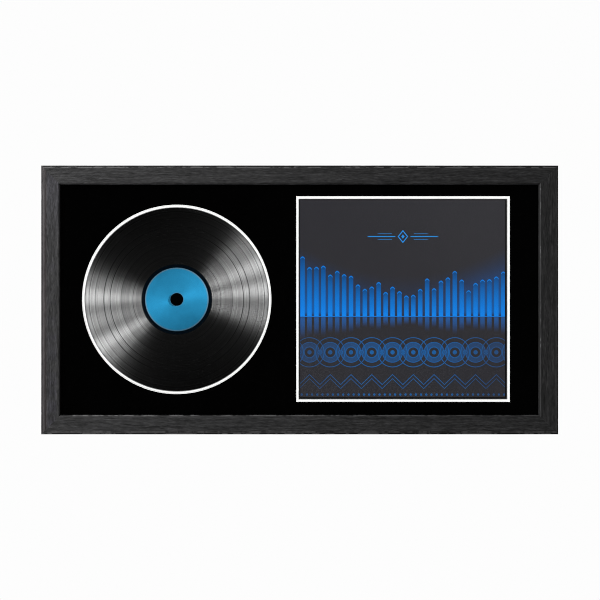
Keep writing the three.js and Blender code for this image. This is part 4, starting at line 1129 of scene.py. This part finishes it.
def strap_mesh():
    """A pressed strap with a rolled eye at its top, pin line at the origin's height, and two screw holes."""
    mid, thick = 2.15, 1.2
    path, half_width = [], []
    for k in np.concatenate([np.linspace(0.02, 1, 14) ** 1.6 * 6.0, np.linspace(6.6, 34.0, 34)]):
        path.append((-34.0 + k, 0.9, 0.0, 1.0))
        half_width.append(6.0 if k >= 6 else math.sqrt(max(36 - (6 - k) ** 2, 0.05)))
    for t in np.radians(np.linspace(270, 570, 41)[1:]):
        path.append((mid * math.cos(t), PIN_Y + mid * math.sin(t), -math.cos(t), -math.sin(t)))
        half_width.append(6.0)
    rings = []
    e = 0.22
    for (z, y, nz, ny), w in zip(path, half_width):
        h = thick / 2
        ring = []
        for a, b in ((-w, -h + e), (-w + e * 0.4, -h + e * 0.25), (-w + e, -h), (w - e, -h), (w - e * 0.4, -h + e * 0.25), (w, -h + e), (w, h - e), (w - e * 0.4, h - e * 0.25), (w - e, h), (-w + e, h), (-w + e * 0.4, h - e * 0.25), (-w, h - e)):
            ring.append((a, y + ny * b, z + nz * b))
        rings.append(ring)
    co, faces = loft(rings)
    tools = [lathe([(0.0, -1.0), (1.9, -1.0), (1.9, 1.25), (2.1, 1.5), (2.4, 3.0), (0.0, 3.0)], 32, 0.0, -d) for d in (17.5, 27.5)]
    return cut(co, faces, tools)


def ring_mesh():
    """The D-ring's wire at its pin line, hanging, with its butt joint inside the eye."""
    half, low, r = 8.5, -3.0, 2.0
    pts = [(0.15, 0.0)] + run((0.15, 0.0), (half - r, 0.0), 8)
    pts += bend(half - r, -r, r, 90, 0, 8)[1:]
    pts += run(pts[-1], (half, low), 2)
    pts += bend(0.0, low, half, 0, -180, 56)[1:]
    pts += run(pts[-1], (-half, -r), 2)
    pts += bend(-half + r, -r, r, 180, 90, 8)[1:]
    pts += run(pts[-1], (-0.15, 0.0), 8)
    pts = np.array(pts)
    t = np.gradient(pts, axis=0)
    t /= np.linalg.norm(t, axis=1, keepdims=True)
    n = np.stack([-t[:, 1], t[:, 0]], 1)
    sides = 18
    rings = []
    for i, (c, w) in enumerate(zip(pts, n)):
        rad = 1.25 * (0.9 if i in (0, len(pts) - 1) else 1.0)
        a = np.arange(sides) * 2 * math.pi / sides
        rings.append(np.stack([c[0] + rad * np.cos(a) * w[0], PIN_Y + rad * np.sin(a), c[1] + rad * np.cos(a) * w[1]], 1))
    return loft(rings)


co, faces = strap_mesh()
STRAP_MESH = make_mesh("strap_hanger_plate", co, faces, PLATE, 32)
co, faces = ring_mesh()
RING_MESH = make_mesh("d_ring_wire", co, faces, WIRE, 50)
for name, x in (("left", -HANGER_X), ("right", HANGER_X)):
    at = Matrix.Translation((x * 0.001, 0.0, HANGER_Z * 0.001))
    place(f"hanger_strap_{name}_plate", STRAP_MESH, f"hanger_strap_{name}", "frame", at)
    place(f"d_ring_{name}_wire", RING_MESH, f"d_ring_{name}", f"ring_{name}", at)
    for which, d in (("upper", 17.5), ("lower", 27.5)):
        spin = Matrix.Rotation(float(turns.uniform(0, math.pi / 2)), 4, "Y")
        at_screw = Matrix.Translation((x * 0.001, 0.0018, (HANGER_Z - d) * 0.001)) @ spin
        place(f"hanger_screw_{name}_{which}_steel", SCREW_MESH, f"hanger_screw_{name}_{which}", "frame", at_screw)

bumper_profile = [(0.0, 0.0), (5.3, 0.0), (5.5, 0.15), (5.5, 1.3)] + [(5.5 * math.cos(a) ** 0.55, 1.3 + 2.4 * math.sin(a)) for a in np.radians([10, 20, 30, 40, 50, 60, 68, 76, 82])] + [(1.2, 3.69), (0.0, 3.7)]
for name, s in (("left", -1), ("right", 1)):
    co, faces = lathe(bumper_profile, 48, s * (FRAME_W / 2 - 12.0), -FRAME_H / 2 + 12.0)
    piece(f"bumper_{name}_dome", co, faces, RUBBER, f"bumper_{name}", sharp=50)

# ------------------------------------------------------------------ floor, world and lamps

FLOOR_Z = -0.75
bm = bmesh.new()
bmesh.ops.create_circle(bm, cap_ends=True, cap_tris=True, segments=96, radius=3.0)
floor_mesh = bpy.data.meshes.new("pale_floor")
bm.to_mesh(floor_mesh)
bm.free()
floor = bpy.data.objects.new("pale_floor", floor_mesh)
scene.collection.objects.link(floor)
floor.location = (0.0, 0.0, FLOOR_Z)
m = Mat("floor_pale")
p = m.place()
r = m.radius(m.join(m.split(p)[0], 0.0, m.split(p)[1]), 0.0, 0.0)
m.set(Base_Color=(0.86, 0.86, 0.86), Roughness=0.9, Specular_IOR_Level=0.0)
clear = m.node("ShaderNodeBsdfTransparent")
both = m.node("ShaderNodeMixShader")
m.put(both.inputs[0], m.span(r, 900.0, 2300.0, smooth=True))
m.put(both.inputs[1], m.bsdf.outputs[0])
m.put(both.inputs[2], clear.outputs[0])
m.put(m.out.inputs["Surface"], both.outputs[0])
floor_mesh.materials.append(m.mat)
floor.visible_shadow = False
floor.visible_glossy = False

world = bpy.data.worlds.new("studio")
scene.world = world
world.use_nodes = True
tree = world.node_tree
tree.nodes.clear()
back = tree.nodes.new("ShaderNodeBackground")
path = tree.nodes.new("ShaderNodeLightPath")
mixed = tree.nodes.new("ShaderNodeMix")
mixed.data_type = "FLOAT"
mixed.inputs[2].default_value = 0.004
mixed.inputs[3].default_value = 0.982
tree.links.new(path.outputs["Is Camera Ray"], mixed.inputs[0])
back.inputs["Color"].default_value = (1.0, 1.0, 1.0, 1.0)
tree.links.new(mixed.outputs[0], back.inputs["Strength"])
world_out = tree.nodes.new("ShaderNodeOutputWorld")
tree.links.new(back.outputs[0], world_out.inputs[0])


def collection(name, objects):
    c = bpy.data.collections.new(name)
    for o in objects:
        c.objects.link(o)
    return c


def lamp(name, at, target, size, power, only=None, colour=(1.0, 1.0, 1.0)):
    data = bpy.data.lights.new(name, "AREA")
    data.shape = "RECTANGLE"
    data.size, data.size_y = size
    data.energy = power
    data.color = colour
    obj = bpy.data.objects.new(name, data)
    scene.collection.objects.link(obj)
    obj.location = at
    obj.rotation_euler = (Vector(target) - Vector(at)).to_track_quat("-Z", "Y").to_euler()
    obj.visible_camera = False
    if only is not None:
        obj.light_linking.receiver_collection = only
    return obj


mats_and_print = collection("lit_mats_and_print", [top_mat, inner_mat, hub_cap, cover])
only_label = collection("lit_label", [label_front])
only_record = collection("lit_record", [record])
wooden = collection("lit_wood", rails)

disc = Vector((DISC_X * 0.001, -0.01, DISC_Z * 0.001))


def around(centre, azimuth, tilt, distance):
    """A point seen from centre at an angle in the plane of the front (0 to +X, 90 to +Z) and tilt off the -Y axis."""
    a, t = math.radians(azimuth), math.radians(tilt)
    return centre + distance * Vector((math.cos(a) * math.sin(t), -math.cos(t), math.sin(a) * math.sin(t)))


def spot(name, side, azimuth, spread, power):
    """A small soft lamp that lights one half of the record, so that its grooves answer in a narrow beam."""
    data = bpy.data.lights.new(name, "SPOT")
    data.energy = power
    data.shadow_soft_size = 1.6 * math.sin(math.radians(38)) * math.radians(spread)
    data.spot_size = math.radians(13.2)
    data.spot_blend = 0.5
    obj = bpy.data.objects.new(name, data)
    scene.collection.objects.link(obj)
    at = around(disc, azimuth, 38, 1.6)
    obj.location = at
    lean = math.radians(14 if side == "right" else 194)
    target = disc + 0.19 * Vector((math.cos(lean), 0.0, math.sin(lean)))
    obj.rotation_euler = (target - at).to_track_quat("-Z", "Y").to_euler()
    obj.visible_camera = False
    obj.light_linking.receiver_collection = only_record
    return obj


def pool(name, at, target, cone, power, only):
    """A soft-edged spot: seen from far aside, its pool of light is a long band."""
    data = bpy.data.lights.new(name, "SPOT")
    data.energy = power
    data.shadow_soft_size = 0.02
    data.spot_size = math.radians(cone)
    data.spot_blend = 1.0
    obj = bpy.data.objects.new(name, data)
    scene.collection.objects.link(obj)
    obj.location = at
    obj.rotation_euler = (target - at).to_track_quat("-Z", "Y").to_euler()
    obj.visible_camera = False
    obj.light_linking.receiver_collection = only
    return obj


SHEEN = 268.0
for k, (side, azimuth, spread, share) in enumerate((
    ("right", -21.0, 3.0, 0.014), ("right", -10.5, 8.0, 0.365), ("right", -3.0, 3.5, 0.04), ("right", 7.0, 5.0, 0.525),
    ("right", 24.0, 6.0, 0.52), ("right", 35.0, 12.0, 0.385), ("right", 48.5, 3.0, 0.024),
    ("left", 159.0, 3.0, 0.004), ("left", 168.5, 4.0, 0.085), ("left", 178.5, 5.0, 0.405), ("left", 193.5, 6.0, 0.25),
    ("left", 209.0, 4.5, 0.40), ("left", 219.0, 2.5, 0.085), ("left", 229.0, 3.0, 0.006),
)):
    spot(f"record_beam_{k + 1}", side, azimuth, spread, SHEEN * share)

lamp("key_right", around(disc, 30, 40, 2.2), disc, (0.7, 0.7), 21, mats_and_print)
lamp("key_left", around(disc, 190, 40, 2.2), disc, (0.7, 0.7), 21, mats_and_print)
lamp("label_right", around(disc, 22, 40, 2.2), disc, (0.7, 0.7), 13, only_label)
lamp("label_left", around(disc, 194, 40, 2.2), disc, (0.7, 0.7), 17, only_label)
lamp("label_top", around(disc, 105, 40, 2.2), disc, (0.7, 0.7), 2.6, only_label)
pool("label_band", around(disc, 17, 70, 1.6), disc + Vector((0.0, 0.0, 0.007)), 4.3, 215, only_label)
lamp("fill_top", (0.0, -1.4, 1.5), (0.06, 0.0, 0.0), (1.6, 0.6), 16, mats_and_print)
lamp("fill_low", (0.0, -1.4, -1.5), (0.06, 0.0, 0.0), (1.6, 0.6), 16, mats_and_print)
lamp("wood_key", (-1.15, -0.95, 0.75), (-0.1, 0.0, 0.0), (0.5, 0.5), 32, wooden)
lamp("wood_low", (-0.75, -0.45, -0.55), (-0.36, 0.0, -0.16), (0.4, 0.4), 2.3, wooden)
lamp("wood_fill", (1.6, -1.5, -0.2), (0.0, 0.0, 0.0), (1.2, 1.0), 5, wooden)
lamp("back_high", (-1.2, 1.9, 1.3), (0.0, 0.0, 0.0), (1.2, 1.0), 50)
lamp("back_fill", (1.7, 1.6, 0.3), (0.0, 0.0, 0.0), (1.0, 1.2), 20)
lamp("side_right", (2.6, 0.25, 0.7), (0.38, 0.15, 0.0), (0.3, 1.4), 27, wooden)
lamp("side_left", (-2.6, 0.25, 0.7), (-0.38, 0.15, 0.0), (0.3, 1.4), 44, wooden)
lamp("side_top", (0.0, 0.25, 2.1), (0.0, 0.15, 0.2), (1.6, 0.3), 34, wooden)
lamp("back_low", (0.2, 1.5, -0.65), (0.0, 0.0, 0.0), (2.4, 0.4), 9)
lamp("floor_wash", (0.0, 0.0, 1.9), (0.0, 0.0, -0.75), (2.0, 2.0), 60, collection("lit_floor", [floor]))

scene.view_settings.view_transform = "Standard"
scene.view_settings.look = "None"
scene.view_settings.exposure = 0.0
scene.view_settings.gamma = 1.0
scene.cycles.pixel_filter_type = "BLACKMAN_HARRIS"
scene.cycles.filter_width = 0.95
